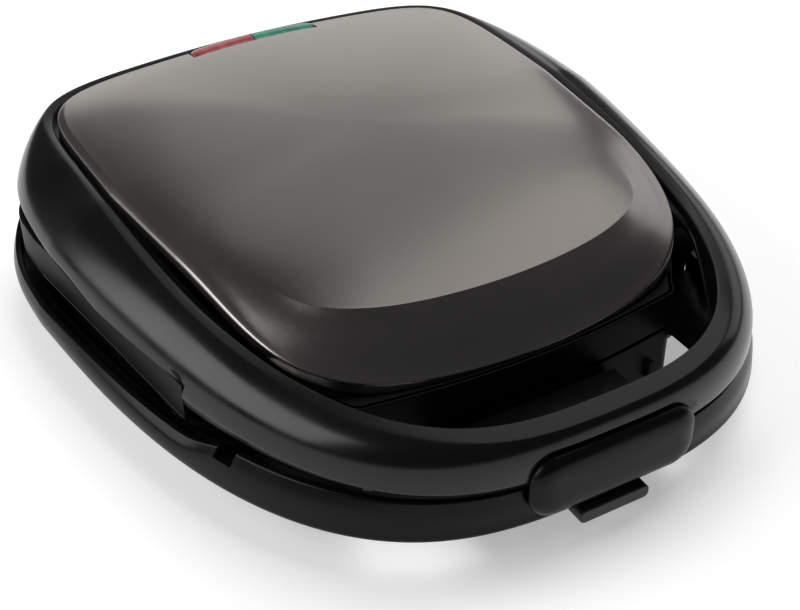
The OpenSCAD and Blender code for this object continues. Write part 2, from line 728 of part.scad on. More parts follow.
// The hole at the back for the mains lead.
lead_x = 48;
lead_z = 22.5;
module lead_hole() {
    translate([lead_x, back - 40, lead_z]) rotate([-90, 0, 0])
        cylinder(d = cord_hole_d, h = 50);
}

module bottom_cover() {
    color([0.3, 0.3, 0.31]) difference() {
        translate([0, 0, floor_z]) linear_extrude(2) polygon(full(tub_half(tub_wall + 0.3)));
        each_plate_screw(floor_z - 1) cylinder(d = screw_d + 0.3, h = 5);
        for (x = [-36:18:36]) for (y = [plate[1] + 46, plate[2] - 53])
            translate([x - 2, y, floor_z - 1]) cube([4, 30, 4]);
        mirrored() each_foot(floor_z - 1) cylinder(d = 5, h = 4);
    }
}
module base_screws() {
    color([0.6, 0.6, 0.6]) each_plate_screw(floor_z) mirror([0, 0, 1]) screw(9);
}

module each_foot(z) {
    translate([plate_w / 2 - 27, plate[1] + 24, z]) children();
    translate([plate_w / 2 - 13, plate[2] - 29, z]) children();
}
module feet() {
    color([0.08, 0.08, 0.08]) mirrored() each_foot(0) {
        cylinder(d1 = foot_d - 1.6, d2 = foot_d, h = 1);
        translate([0, 0, 1]) cylinder(d = foot_d, h = floor_z - 1);
        cylinder(d = 4.9, h = floor_z + 2.6);
    }
}

// Height of the base's rim at the direction a.
function rim_z(a) =
    let (y = plan_pt(rim, a)[1], r0 = -grip_y - 66, dip = ease((y + r0) / 26))
    lip_z - rim_gap - rim_dip * (dip - 0.85 * ease((y - back + 64.5) / 30));
function skirt_section(a) =
    let (r = plan_pt(rim, a),
        b = plan_pt(belly, a),
        s = plan_pt(sole, a),
        out = plan_out(belly, a),
        z = rim_z(a),
        w = skirt_wall)
    [at_z(r, z), at_z(mix(r, b, 0.65) + out * 0.35, mix(z, skirt_z + 4, 0.5)),
        at_z(b, skirt_z + 4), at_z(mix(b, s, 0.5) + out * 0.5, skirt_z + 1.4),
        at_z(s, skirt_z), at_z(s - out * 8, skirt_z), at_z(s - out * 8, skirt_z + 2.4),
        at_z(s - out * 1.8, skirt_z + 2.4), at_z(b - out * w, skirt_z + 4.4),
        at_z(mix(r, b, 0.65) + out * (0.35 - w), mix(z, skirt_z + 4, 0.5)),
        at_z(r - out * w, z - 4.6), at_z(r - out * 7, z - 4.6), at_z(r - out * 7, z - 3),
        at_z(r - out * w, z - 3), at_z(r - out * w, z)];

module base_skirt() {
    color([0.05, 0.05, 0.055]) difference() {
        union() {
            band([for (a = stations) skirt_section(a)]);
            translate([0, 0, skirt_z + 0.2]) linear_extrude(2) difference() {
                polygon(plan_list(sole, -5));
                polygon(full(tub_half(-0.3)));
            }
            tongue();
            catch_bar();
            mirrored() hinge_ears();
        }
        mirrored() front_opening();
        mirrored() rim_notch();
        latch_slot();
        tongue_hollow();
        mirrored() translate([0, hinge_y, hinge_z]) rod(pin_d, knuckle_w + 30, hinge_x);
        lead_hole();
    }
}

// The cut-out in the skirt that the latch lever swings in, clear of the catch.
module latch_slot() {
    w = latch_w + 4;
    translate([-w / 2, front - 5, 10]) difference() {
        cube([w, tongue_y - front + 5, 40]);
        translate([w / 2 - 11, tongue_y - front + 2.2, catch_z - 10]) cube([22, 6, 3]);
    }
}

// The tongue between the tub and the front skirt, with the latch's catch.
tongue_y = front + 16;
tongue_top = skirt_z + 8.5;
module tongue() {
    translate([-tongue_half, grip_y + 2, skirt_z + 0.2])
        cube([2 * tongue_half, liner_front - grip_y - 2.6, tongue_top - skirt_z - 0.2]);
}
module tongue_hollow() {
    side = tongue_half - latch_w / 2 - 7;
    translate([2.5 - tongue_half, tongue_y + 2.5, skirt_z - 1])
        cube([2 * tongue_half - 5, liner_front - tongue_y - 6, 7.2]);
    mirrored() translate([latch_w / 2 + 4.5, grip_y + 9, skirt_z - 1])
        cube([side, tongue_y - grip_y - 5, 7.2]);
}
module catch_bar() {
    translate([-11, tongue_y - 2.8, catch_z]) cube([22, 5, 3]);
}
catch_z = skirt_z + 7.7;

// One of the two openings beside the tongue.
module front_opening() {
    function at_y(s) = mix(grip_y, guard_y, s);
    y0 = liner_front - 0.5;
    side = nose_x - 17;
    translate([0, 0, skirt_z - 1]) linear_extrude(4)
        polygon([[tongue_half + 2.5, y0], [tongue_half + 2.5, at_y(0.13)],
            [side - 29, at_y(0.165)], [side - 15, at_y(0.26)], [side - 5, at_y(0.4)],
            [side, at_y(0.61)], [side, at_y(0.81)], [side - 12, y0]]);
}

// A small notch in the rim where the guard ends.
module rim_notch() {
    translate([nose_x - 2, guard_y - 20, lip_z - rim_gap - 5]) cube([24, 8, 20]);
}

// The base's half of one hinge: an ear on each side of the lid's knuckle.
module hinge_ears() {
    half = knuckle_w / 2 + ear_gap;
    for (x = [hinge_x - half - ear_w, hinge_x + half]) translate([x, 0, 0]) {
        translate([0, hinge_y, hinge_z]) rotate([0, 90, 0])
            cylinder(r = knuckle_r, h = ear_w);
        translate([0, 0, 0]) rotate([90, 0, 90]) linear_extrude(ear_w)
            polygon([[hinge_y - 12, skirt_z + 0.5], [hinge_y - 3, skirt_z + 0.5],
                [hinge_y - 3, rim_z(90) - 1], [hinge_y + 3.2, hinge_z - 4.4],
                [hinge_y - 3, hinge_z + 4], [hinge_y - 5.4, hinge_z + 0.5],
                [hinge_y - 12, rim_z(90) - 3]]);
    }
}
module hinge_pins() {
    color([0.62, 0.62, 0.63]) translate([0, hinge_y, hinge_z]) mirrored()
        rod(pin_d, knuckle_w + 2 * (ear_gap + ear_w), hinge_x);
}

// ---- Electrical parts --------------------------------------------------------------

// The thermostat lies against the lower plate between the pockets' ends.
module thermostat() {
    color([0.8, 0.78, 0.7]) translate([0, plate[2] - 16, plate_z - plate_t - 8]) {
        translate([-9, -6, 0]) cube([18, 12, 8]);
        translate([-5, -3.5, -4]) cube([10, 7, 4.1]);
    }
}
module thermal_fuse() {
    color([0.82, 0.7, 0.45]) translate([-34, plate[2] - 10, lower_heater_z + 2]) rotate([0, 0, 8]) {
        rod(4, 12);
        rod(1.4, 23.6);
    }
}
module terminal_block() {
    color([0.85, 0.85, 0.82]) difference() {
        translate([lead_x - 14, plate[2] - 13, floor_z + 2]) cube([20, 9, 8]);
        for (x = [-11, -4, 3])
            translate([lead_x + x, plate[2] - 14, floor_z + 6]) rotate([-90, 0, 0])
                cylinder(d = 3, h = 12);
    }
}
// A rubber bush in the lead hole, with a flange outside.
module cord_gland() {
    color([0.1, 0.1, 0.1]) translate([lead_x, 0, lead_z]) rotate([-90, 0, 0]) difference() {
        translate([0, 0, gland_y]) union() {
            cylinder(d = cord_hole_d + 5, h = 3);
            translate([0, 0, -9]) cylinder(d = cord_hole_d - 0.1, h = 10);
        }
        translate([0, 0, gland_y - 12]) cylinder(d = 4.6, h = 20);
    }
}
gland_y = plan_pt(belly, 70)[1] + 0.8;

// A wire from one point to the next, with rounded bends.
module wire(path, d = 1.8) {
    for (k = [0:len(path) - 2]) {
        v = path[k + 1] - path[k];
        l = norm(v);
        translate(path[k]) rotate([0, acos(v[2] / l), atan2(v[1], v[0])])
            cylinder(d = d, h = l, $fn = 20);
        if (k > 0) translate(path[k]) sphere(d = d + 0.6, $fn = 20);
    }
}
module base_wiring() {
    z = lower_heater_z;
    y = plate[2] - 9.5;
    color([0.75, 0.72, 0.66]) {
        wire([[14, y, z], [lead_x - 14.2, y + 1, floor_z + 6]]);
        wire([[-14, y, z], [-22, y + 1.2, z + 2]]);
    }
}
module lid_wiring() {
    z = upper_heater_z;
    y = plate[2] - 9.5;
    color([0.75, 0.72, 0.66]) mirrored()
        wire([[14, y, z], [16, y + 4.5, z + 2], [16, y + 16.5, carrier_z - 12],
            [16, cover[2] - lens_w, carrier_z - 10.25]]);
}

// ---- Grip and latch ------------------------------------------------------------------

// The grip pad: a cushion with a flat back.
module grip_pad() {
    z0 = lip_z - grip_drop;
    mid = [0, 0];
    function pad_ring(inset, out) =
        let (w = grip_l / 2 - inset, h = grip_h / 2 - inset * 0.8, r = max(2, 10 - inset))
        [for (p = concat(
            arc_pts(w - r, h - r, r, 0, 90, 6), arc_pts(r - w, h - r, r, 90, 180, 6),
            arc_pts(r - w, r - h, r, 180, 270, 6), arc_pts(w - r, r - h, r, 270, 360, 6)))
            [p[0], p[1], out * (1 - 0.0001 * p[0] * p[0])]];
    color([0.04, 0.04, 0.045]) difference() {
        translate([0, grip_seat - 0.1, z0 + grip_h / 2]) rotate([90, 0, 0])
            shell([pad_ring(9, grip_t), pad_ring(5.5, grip_t - 0.35),
                pad_ring(3, grip_t - 1.1), pad_ring(1.2, grip_t - 2.3),
                pad_ring(0.25, grip_t - 3.8), pad_ring(0, 1), pad_ring(0, 0)],
                [0, 0, grip_t], [0, 0, 0]);
        each_grip_screw() translate([0, 0, -1]) cylinder(d = screw_d, h = 4);
    }
}
module each_grip_screw() {
    mirrored() translate([24, grip_seat - 0.1, lip_z + 5]) rotate([90, 0, 0]) children();
}
module grip_screws() {
    color([0.6, 0.6, 0.6]) each_grip_screw() translate([0, 0, -1.3]) mirror([0, 0, 1])
        screw(3.8);
}

// The lever, drawn unhooked: a stem through the base's cut-out, a nose and a tab.
module latch_lever() {
    top = latch_z;
    low = skirt_z - 1.5;
    stem_y = latch_y + 1.3;
    color([0.12, 0.11, 0.1]) difference() {
        union() {
            translate([0, latch_y, latch_z]) rod(4.4, latch_w);
            translate([-latch_w / 2, stem_y - latch_t + 0.4, low + 2])
                cube([latch_w, latch_t - 0.4, top - low - 2]);
            translate([-10, stem_y - 0.2, catch_z - 4]) cube([20, 2.4, 3]);
            translate([0, stem_y, low + 2.7]) rotate([90, 0, 0])
                linear_extrude(stem_y - front - 0.8) round_rect(latch_w, 5.4, 2.2);
        }
        translate([0, latch_y, latch_z]) rod(latch_pin_d + 2 * latch_gap, latch_w + 2);
    }
}
// The coils of the two springs, drawn as rings side by side round the pin.
module latch_spring() {
    color([0.6, 0.6, 0.62]) mirrored() for (k = [0:3])
        translate([latch_w / 2 + 0.6 + k * 0.62, latch_y, latch_z]) rotate([0, 90, 0])
            rotate_extrude($fn = 32) translate([latch_pin_d / 2 + 0.6, 0])
                circle(d = 0.6, $fn = 16);
}
module latch_pin() {
    color([0.62, 0.62, 0.63]) translate([0, latch_y, latch_z])
        rod(latch_pin_d, latch_w + 14);
}

base_skirt();
base_tub();
bottom_cover();
feet();
lower_plate();
lower_plate_screws();
lower_element();
lower_reflector();
thermostat();
thermal_fuse();
terminal_block();
cord_gland();
base_wiring();
base_screws();
hinge_pins();
lid_ring();
lid_cover();
upper_liner();
upper_plate();
upper_plate_screws();
upper_element();
upper_reflector();
red_lens();
green_lens();
lamp_carrier();
lamps();
lid_wiring();
lid_screws();
grip_pad();
grip_screws();
latch_pin();
latch_spring();
latch_lever();
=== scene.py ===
"""Sandwich toaster, closed, on a pale floor. The numbers are millimetres, like the drawing's."""
import math

import bmesh
import bpy
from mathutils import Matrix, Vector


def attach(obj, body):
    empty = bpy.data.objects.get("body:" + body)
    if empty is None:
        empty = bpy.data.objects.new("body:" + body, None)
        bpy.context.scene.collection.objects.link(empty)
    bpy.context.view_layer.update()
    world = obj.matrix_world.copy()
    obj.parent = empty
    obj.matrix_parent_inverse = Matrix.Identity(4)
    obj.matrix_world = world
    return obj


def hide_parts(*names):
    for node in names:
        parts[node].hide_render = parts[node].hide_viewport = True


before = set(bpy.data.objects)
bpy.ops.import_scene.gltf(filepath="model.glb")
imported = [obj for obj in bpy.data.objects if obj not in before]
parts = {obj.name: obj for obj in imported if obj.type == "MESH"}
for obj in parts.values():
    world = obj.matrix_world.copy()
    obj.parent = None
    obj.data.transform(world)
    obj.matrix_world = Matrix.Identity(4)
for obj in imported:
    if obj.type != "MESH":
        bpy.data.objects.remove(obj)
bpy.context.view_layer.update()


# ---- Base skirt ----------------------------------------------------------------------
# The base's outer shell: a glossy black moulding, 2.5 mm thick, that flares out to its sole.
# A web joins it to the tub, a tongue in front carries the catch, and two ears at the back
# take each hinge pin.

front, back, wide_y = -148.5, 148.5, 45.0
lip_z, skirt_z, grip_y = 36.0, 15.5, -142.5
hinge_x, hinge_y, hinge_z = 74.0, 143.0, 38.0
guard_y, guard_back, liner_front = -57.0, 64.0, -95.5
nose_x, tub_side, latch_w = 102.0, 115.0, 29.0
step_a = -28


def mix(a, b, s):
    return a + (b - a) * s


def ease(s):
    s = min(1.0, max(0.0, s))
    return s * s * (3 - 2 * s)


def reach_of(a, n):
    """How far direction a lies towards the front, from -1 to 1, on an outline of fullness n."""
    c, s = abs(math.cos(math.radians(a))), math.sin(math.radians(a))
    return -s / (c**n + abs(s) ** n) ** (1 / n)


# Outlines from above: half width, front y, back y, fullness of front and back, taper, bow.
rim = (135, grip_y + 0.5, 141.5, 3, 3, 0.16, 0)
belly = (136.5, grip_y, 142, 3, 3, 0.125, 0)
sole = (134, grip_y + 0.5, 141, 3, 3, 0.11, 0)


def on_outline(outline, a):
    half, y0, y1, n0, n1, taper, bow = outline
    c, s = math.cos(math.radians(a)), math.sin(math.radians(a))
    n = n0 if s < 0 else n1
    r = (abs(c) ** n + abs(s) ** n) ** (1 / n)
    u, v = c / r, s / r
    length = wide_y - y0 if v < 0 else y1 - wide_y
    ahead = max(0.0, -v)
    return Vector((half * u * (1 - taper * ahead), wide_y + v * length + bow * u * u * ahead**3, 0))


def outward(outline, a):
    t = on_outline(outline, a + 0.7) - on_outline(outline, a - 0.7)
    return Vector((t.y, -t.x, 0)).normalized()


def at(p, z):
    return Vector((p[0], p[1], z))


half_round = [mix(-90, step_a, k / 48) for k in range(49)]
half_round += [mix(step_a + 0.1, 90, k / 96) for k in range(97)]
all_round = half_round + [180 - a for a in reversed(half_round[1:-1])]


def flowing(points, steps):
    """A smooth line through the points, with this many steps from each to the next."""
    line = []
    ends = [points[0] * 2 - points[1], *points, points[-1] * 2 - points[-2]]
    for p0, p1, p2, p3 in zip(ends, ends[1:], ends[2:], ends[3:]):
        for k in range(steps):
            t = k / steps
            line.append(
                p1
                + (p2 - p0) * (0.5 * t)
                + (p0 * 2 - p1 * 5 + p2 * 4 - p3) * (0.5 * t * t)
                + (p1 * 3 - p0 - p2 * 3 + p3) * (0.5 * t * t * t)
            )
    return [*line, points[-1]]


def rounded(section, steps=3):
    """A closed section of (point, radius); a radius of 0 keeps the point as it is."""
    line = []
    for k, (p, radius) in enumerate(section):
        if not radius:
            line.append(p)
            continue
        a = section[k - 1][0] - p
        b = section[(k + 1) % len(section)][0] - p
        a *= min(radius, 0.45 * a.length) / max(a.length, 1e-6)
        b *= min(radius, 0.45 * b.length) / max(b.length, 1e-6)
        for j in range(steps + 1):
            t = j / steps
            line.append(p + a * (1 - t) ** 2 + b * t**2)
    return line


def band(sections):
    """Skin of a moulding that runs all the way round, from its closed sections."""
    n, m = len(sections), len(sections[0])
    points = [p for s in sections for p in s]
    faces = []
    for i in range(n):
        for j in range(m):
            k, l = (i + 1) % n * m, (j + 1) % m
            faces.append((i * m + j, i * m + l, k + l, k + j))
    return points, faces


def stack(rings, first=None, last=None):
    """Skin over rings of points, closed by a fan or by a flat face at each end."""
    n, m = len(rings), len(rings[0])
    points = [p for r in rings for p in r]
    faces = [
        (k * m + i, k * m + (i + 1) % m, (k + 1) * m + (i + 1) % m, (k + 1) * m + i)
        for k in range(n - 1)
        for i in range(m)
    ]
    for middle, start in ((first, 0), (last, (n - 1) * m)):
        if middle is None:
            faces.append(tuple(range(start, start + m)))
        else:
            faces += [(len(points), start + i, start + (i + 1) % m) for i in range(m)]
            points.append(middle)
    return points, faces


def slab(outline, z0, z1):
    return stack([[at(p, z0) for p in outline], [at(p, z1) for p in outline]])


def block(x0, x1, y0, y1, z0, z1):
    return slab([(x0, y0), (x1, y0), (x1, y1), (x0, y1)], z0, z1)


def across(outline, x0, x1):
    """A slab along X, from an outline of (y, z)."""
    return stack([[Vector((x, p[0], p[1])) for p in outline] for x in (x0, x1)])


def arc(cx, cy, r, a0, a1, n=14):
    turns = [math.radians(mix(a0, a1, k / n)) for k in range(n + 1)]
    return [(cx + r * math.cos(t), cy + r * math.sin(t)) for t in turns]


def rod(d, x0, x1, y, z, n=40):
    return across(arc(y, z, d / 2, 0, 360 - 360 / n, n - 1), x0, x1)


def peg(d, x, y, z0, z1, n=32):
    return slab(arc(x, y, d / 2, 0, 360 - 360 / n, n - 1), z0, z1)


def mirrored(skin):
    points, faces = skin
    return [Vector((-p[0], p[1], p[2])) for p in points], faces


def mould(name, *skins):
    """One mesh object from one or more closed skins, with every face turned outwards."""
    form = bmesh.new()
    for points, faces in skins:
        made = [form.verts.new(Vector(p) * 0.001) for p in points]
        for f in faces:
            form.faces.new([made[i] for i in f])
    bmesh.ops.remove_doubles(form, verts=form.verts, dist=1e-7)
    bmesh.ops.recalc_face_normals(form, faces=form.faces)
    mesh = bpy.data.meshes.new(name)
    form.to_mesh(mesh)
    form.free()
    piece = bpy.data.objects.new(name, mesh)
    bpy.context.scene.collection.objects.link(piece)
    return piece


def settle(piece):
    """Turn a piece's modifiers into its own mesh."""
    bpy.context.view_layer.update()
    seen = piece.evaluated_get(bpy.context.evaluated_depsgraph_get())
    mesh = bpy.data.meshes.new_from_object(seen)
    piece.modifiers.clear()
    old, piece.data = piece.data, mesh
    mesh.name = piece.name
    bpy.data.meshes.remove(old)


def carve(piece, *skins, how="DIFFERENCE"):
    """Cut closed skins out of a piece, or weld them to it with how="UNION"."""
    for skin in skins:
        tool = mould("tool", skin)
        cut = piece.modifiers.new("cut", "BOOLEAN")
        cut.operation, cut.solver, cut.object = how, "EXACT", tool
        settle(piece)
        old = tool.data
        bpy.data.objects.remove(tool)
        bpy.data.meshes.remove(old)
    return piece


def ease_edges(piece, width, angle=40, steps=2):
    """Break the sharp edges of a piece, as a mould does."""
    worn = piece.modifiers.new("edges", "BEVEL")
    worn.width, worn.segments = width * 0.001, steps
    worn.limit_method, worn.angle_limit = "ANGLE", math.radians(angle)
    settle(piece)
    return piece


def join(name, *pieces):
    form = bmesh.new()
    for p in pieces:
        form.from_mesh(p.data)
        old = p.data
        bpy.data.objects.remove(p)
        bpy.data.meshes.remove(old)
    mesh = bpy.data.meshes.new(name)
    form.to_mesh(mesh)
    form.free()
    whole = bpy.data.objects.new(name, mesh)
    bpy.context.scene.collection.objects.link(whole)
    return whole


def dress(piece, finish, slot, body, *stands_for, crease=38):
    """Shade a piece, give it its finish and its body, and hide the drawn parts it replaces."""
    for face in piece.data.polygons:
        face.use_smooth = True
    piece.data.set_sharp_from_angle(angle=math.radians(crease))
    even = piece.modifiers.new("even", "WEIGHTED_NORMAL")
    even.keep_sharp, even.weight = True, 60
    settle(piece)
    piece.data.materials.clear()
    piece.data.materials.append(finish)
    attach(piece, body)
    if stands_for:
        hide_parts(*stands_for)
    return piece


def rim_height(a):
    y = on_outline(rim, a).y
    dip = ease((y - grip_y - 66) / 26)
    return lip_z - 4 - 6 * (dip - 0.85 * ease((y - 84) / 30))


def skirt_section(a):
    r, b, s = (on_outline(line, a) for line in (rim, belly, sole))
    out, z, wall = outward(belly, a), rim_height(a), 2.5
    middle = mix(r, b, 0.65) + out * 0.35
    outside = flowing(
        [at(r, z), at(middle, mix(z, skirt_z + 4, 0.5)), at(b, skirt_z + 4),
         at(mix(b, s, 0.5) + out * 0.5, skirt_z + 1.4), at(s, skirt_z)], 4)
    section = [(p, 0) for p in outside]
    section[0], section[-1] = (outside[0], 0.7), (outside[-1], 0.5)
    inside = [
        (s - out * 8, skirt_z), (s - out * 8, skirt_z + 2.4), (s - out * 1.8, skirt_z + 2.4),
        (b - out * wall, skirt_z + 4.4), (middle - out * wall, mix(z, skirt_z + 4, 0.5)),
        (r - out * wall, z - 4.6), (r - out * 7, z - 4.6), (r - out * 7, z - 3),
        (r - out * wall, z - 3)]
    section += [(at(p, h), 0) for p, h in inside]
    section.append((at(r - out * wall, z), 0.7))
    return rounded(section)


def nose_half(inset, end_y):
    """Half of the front wall shared by the lid liner and the tub, from the middle outwards."""
    line = [(x * 6.0, liner_front + inset + 0.0014 * (x * 6.0) ** 2) for x in range(9)]
    line += arc(nose_x - 38, liner_front + 13.2, 7.5 - inset, -78, -15)
    end = 180 - math.degrees(math.asin((end_y + inset - liner_front - 22) / (20 + inset)))
    return line + arc(nose_x, liner_front + 22, 20 + inset, 168, end)


def tub_half(inset):
    return (
        nose_half(inset, guard_y + 2)
        + arc(tub_side - 17, guard_y + 16, 14 - inset, -90, 0)
        + [(tub_side - inset, guard_back)]
        + arc(tub_side - 34, guard_back + 12, 34 - inset, 4, 82)
        + [(40, back - 22 - inset), (0, back - 21 - inset)]
    )


def both_sides(half):
    return half + [(-x, y) for x, y in reversed(half[1:-1])]


def front_opening():
    """The opening in the web between the tongue and the side, along the tub's front wall."""
    near, far = 39.5, 75.5
    line = [(near, -131.4), (near + 17, -128.4), (near + 30, -120), (far, -114)]
    wall = [p for p in nose_half(-0.3, guard_y + 2) if near < p[0] < far]
    return slab([*line, (far, wall[-1][1] + 1), *reversed(wall), (near, wall[0][1] - 0.7)],
                skirt_z - 1, skirt_z + 3)


catch_z, tongue_y, tongue_top = skirt_z + 7.7, front + 16, skirt_z + 8.5
lead_hole = stack([
    [Vector((x, y, z)) for x, z in arc(48, 22.5, 3.7, 0, 348, 29)] for y in (108.5, 158.5)])
slot_half = latch_w / 2 + 2
latch_slot = block(-slot_half, slot_half, front - 5, tongue_y, 10, 50)

shell = mould("shell", band([skirt_section(a) for a in all_round]))
rim_notch = block(nose_x - 2, nose_x + 22, guard_y - 20, guard_y - 12, lip_z - 9, lip_z + 11)
carve(shell, front_opening(), mirrored(front_opening()), rim_notch, mirrored(rim_notch),
      latch_slot, lead_hole)

web_line = [on_outline(sole, a) - outward(sole, a) * 5 for a in all_round]
web = mould("web", slab(web_line, skirt_z + 0.2, skirt_z + 2.2))
carve(web, slab(both_sides(tub_half(-0.3)), skirt_z - 2, skirt_z + 5), front_opening(),
      mirrored(front_opening()), latch_slot)

tongue = mould("tongue", block(-37, 37, grip_y + 2, liner_front - 0.6, skirt_z + 0.2, tongue_top))
side_room = block(latch_w / 2 + 4.5, latch_w / 2 + 20, grip_y + 9, tongue_y + 4,
                  skirt_z - 1, skirt_z + 6.2)
carve(tongue, block(-34.5, 34.5, tongue_y + 2.5, liner_front - 3.5, skirt_z - 1, skirt_z + 6.2),
      side_room, mirrored(side_room), latch_slot)
ease_edges(tongue, 0.5)
catch = mould("catch", block(-11, 11, tongue_y - 2.8, tongue_y + 2.2, catch_z, catch_z + 3))
carve(catch, block(-11, 11, tongue_y + 0.001, tongue_y + 9, catch_z - 9, catch_z + 9))
ease_edges(catch, 0.4)

rim_back = rim_height(90)
ear_line = [(hinge_y - 12, skirt_z + 0.5), (hinge_y - 3, skirt_z + 0.5),
            (hinge_y - 3, rim_back - 1), (hinge_y + 3.2, hinge_z - 4.4)]
ear_line += arc(hinge_y, hinge_z, 5.6, -55, 150, 20)
ear_line += [(hinge_y - 5.4, hinge_z + 0.5), (hinge_y - 12, rim_back - 3)]
ears = []
for x in (hinge_x - 15.4, hinge_x + 9.4):
    for sign in (1, -1):
        ear = mould("ear", across(ear_line, *sorted((sign * x, sign * (x + 6)))))
        carve(ear, rod(5, -120, 120, hinge_y, hinge_z))
        ears.append(ease_edges(ear, 0.4))
skirt = join("skirt", shell, web, tongue, catch, *ears)


def effect(name, inputs, outputs):
    """An empty effect with number inputs and with outputs of the given kinds."""
    group = bpy.data.node_groups.new(name, "ShaderNodeTree")
    for label, value in inputs:
        socket = group.interface.new_socket(label, in_out="INPUT", socket_type="NodeSocketFloat")
        socket.default_value = value
    for label, kind in outputs:
        group.interface.new_socket(label, in_out="OUTPUT", socket_type="NodeSocket" + kind)
    given = group.nodes.new("NodeGroupInput").outputs
    return group, given, group.nodes.new("NodeGroupOutput").inputs


def feed(tree, socket, source):
    if hasattr(source, "is_linked"):
        tree.links.new(source, socket)
    else:
        socket.default_value = source


def noise(tree, scale, detail=3.0, stretch=None, rough=0.55):
    """Noise that is fixed to the piece; scale is in waves per metre."""
    place = tree.nodes.new("ShaderNodeTexCoord").outputs["Object"]
    if stretch:
        spread = tree.nodes.new("ShaderNodeMapping")
        spread.inputs["Scale"].default_value = stretch
        tree.links.new(place, spread.inputs["Vector"])
        place = spread.outputs["Vector"]
    grain = tree.nodes.new("ShaderNodeTexNoise")
    tree.links.new(place, grain.inputs["Vector"])
    feed(tree, grain.inputs["Scale"], scale)
    grain.inputs["Detail"].default_value = detail
    grain.inputs["Roughness"].default_value = rough
    return grain.outputs[0]


def spread(tree, value, low, high, to_low=0.0, to_high=1.0):
    step = tree.nodes.new("ShaderNodeMapRange")
    for label, source in (("Value", value), ("From Min", low), ("From Max", high),
                          ("To Min", to_low), ("To Max", to_high)):
        feed(tree, step.inputs[label], source)
    return step.outputs["Result"]


def combine(tree, how, a, b):
    step = tree.nodes.new("ShaderNodeMath")
    step.operation = how
    feed(tree, step.inputs[0], a)
    feed(tree, step.inputs[1], b)
    return step.outputs[0]


# Smooth moulded skin: slow waviness, a very fine tooth, and faint rubbed patches.
moulded_skin, given, out = effect(
    "moulded skin",
    [("Gloss", 0.1), ("Dull", 0.2), ("Patch", 22.0), ("Tooth", 2600.0), ("Depth", 0.35)],
    [("Roughness", "Float"), ("Height", "Float"), ("Rubbed", "Float")])
patches = spread(moulded_skin, noise(moulded_skin, given["Patch"], 5.0), 0.38, 0.66)
moulded_skin.links.new(
    spread(moulded_skin, patches, 0.0, 1.0, given["Gloss"], given["Dull"]), out["Roughness"])
wave = combine(moulded_skin, "MULTIPLY", noise(moulded_skin, 34.0, 1.0), 1.0)
tooth = combine(moulded_skin, "MULTIPLY", noise(moulded_skin, given["Tooth"], 2.0), given["Depth"])
moulded_skin.links.new(combine(moulded_skin, "ADD", wave, tooth), out["Height"])
moulded_skin.links.new(patches, out["Rubbed"])

# Settled dust and light wear: more on faces that look up and on sharp edges.
wear_and_dust, given, out = effect(
    "wear and dust", [("Edge", 0.5), ("Dust", 0.3), ("Speck", 700.0)],
    [("Worn", "Float"), ("Dusty", "Float")])
shape = wear_and_dust.nodes.new("ShaderNodeNewGeometry")
edge = spread(wear_and_dust, shape.outputs["Pointiness"], 0.52, 0.60)
edge = combine(wear_and_dust, "MULTIPLY", edge, noise(wear_and_dust, 160.0, 4.0))
wear_and_dust.links.new(combine(wear_and_dust, "MULTIPLY", edge, given["Edge"]), out["Worn"])
up = wear_and_dust.nodes.new("ShaderNodeSeparateXYZ")
wear_and_dust.links.new(shape.outputs["Normal"], up.inputs[0])
specks = spread(wear_and_dust, noise(wear_and_dust, given["Speck"], 3.0), 0.60, 0.72)
facing_up = spread(wear_and_dust, up.outputs["Z"], 0.2, 1.0)
settled = combine(wear_and_dust, "MULTIPLY", facing_up, specks)
wear_and_dust.links.new(combine(wear_and_dust, "MULTIPLY", settled, given["Dust"]), out["Dusty"])


def finish_of(name, **plain):
    """A material and its shader, with plain values on the shader's own sockets."""
    finish = bpy.data.materials.new(name)
    finish.use_nodes = True
    shader = finish.node_tree.nodes["Principled BSDF"]
    for label, value in plain.items():
        shader.inputs[label.replace("_", " ")].default_value = value
    return finish, finish.node_tree, shader


def use(tree, group, **values):
    node = tree.nodes.new("ShaderNodeGroup")
    node.node_tree = group
    for label, value in values.items():
        node.inputs[label.replace("_", " ")].default_value = value
    return node.outputs


def tint(tree, socket, mask, low, high):
    """Colour between low and high by the mask."""
    blend = tree.nodes.new("ShaderNodeMix")
    blend.data_type = "RGBA"
    tree.links.new(mask, blend.inputs[0])
    blend.inputs[6].default_value = (*low, 1)
    blend.inputs[7].default_value = (*high, 1)
    tree.links.new(blend.outputs[2], socket)


def relief(tree, shader, height, depth, strength=1.0):
    bump = tree.nodes.new("ShaderNodeBump")
    bump.inputs["Strength"].default_value = strength
    bump.inputs["Distance"].default_value = depth * 0.001
    tree.links.new(height, bump.inputs["Height"])
    tree.links.new(bump.outputs["Normal"], shader.inputs["Normal"])


def moulded(name, low, high, gloss, dull, depth=0.02, tooth=0.3, dust=0.25, edge=0.4, **plain):
    """A moulded plastic with its own colours, gloss and depth of skin."""
    finish, tree, shader = finish_of(name, **plain)
    skin = use(tree, moulded_skin, Gloss=gloss, Dull=dull, Depth=tooth)
    worn = use(tree, wear_and_dust, Edge=edge, Dust=dust)
    mask = combine(tree, "ADD", worn["Worn"], worn["Dusty"])
    mask = combine(tree, "ADD", mask, combine(tree, "MULTIPLY", skin["Rubbed"], 0.12))
    tint(tree, shader.inputs["Base Color"], mask, low, high)
    tree.links.new(skin["Roughness"], shader.inputs["Roughness"])
    relief(tree, shader, skin["Height"], depth)
    return finish


gloss_black = moulded("gloss_black", (0.003, 0.003, 0.0034), (0.02, 0.019, 0.02), 0.17, 0.26,
                      IOR=1.4)
low_black = moulded("low_black", (0.003, 0.003, 0.0034), (0.02, 0.019, 0.02), 0.22, 0.32,
                    IOR=1.24)
dress(skirt, low_black, "housing", "base", "base_skirt")


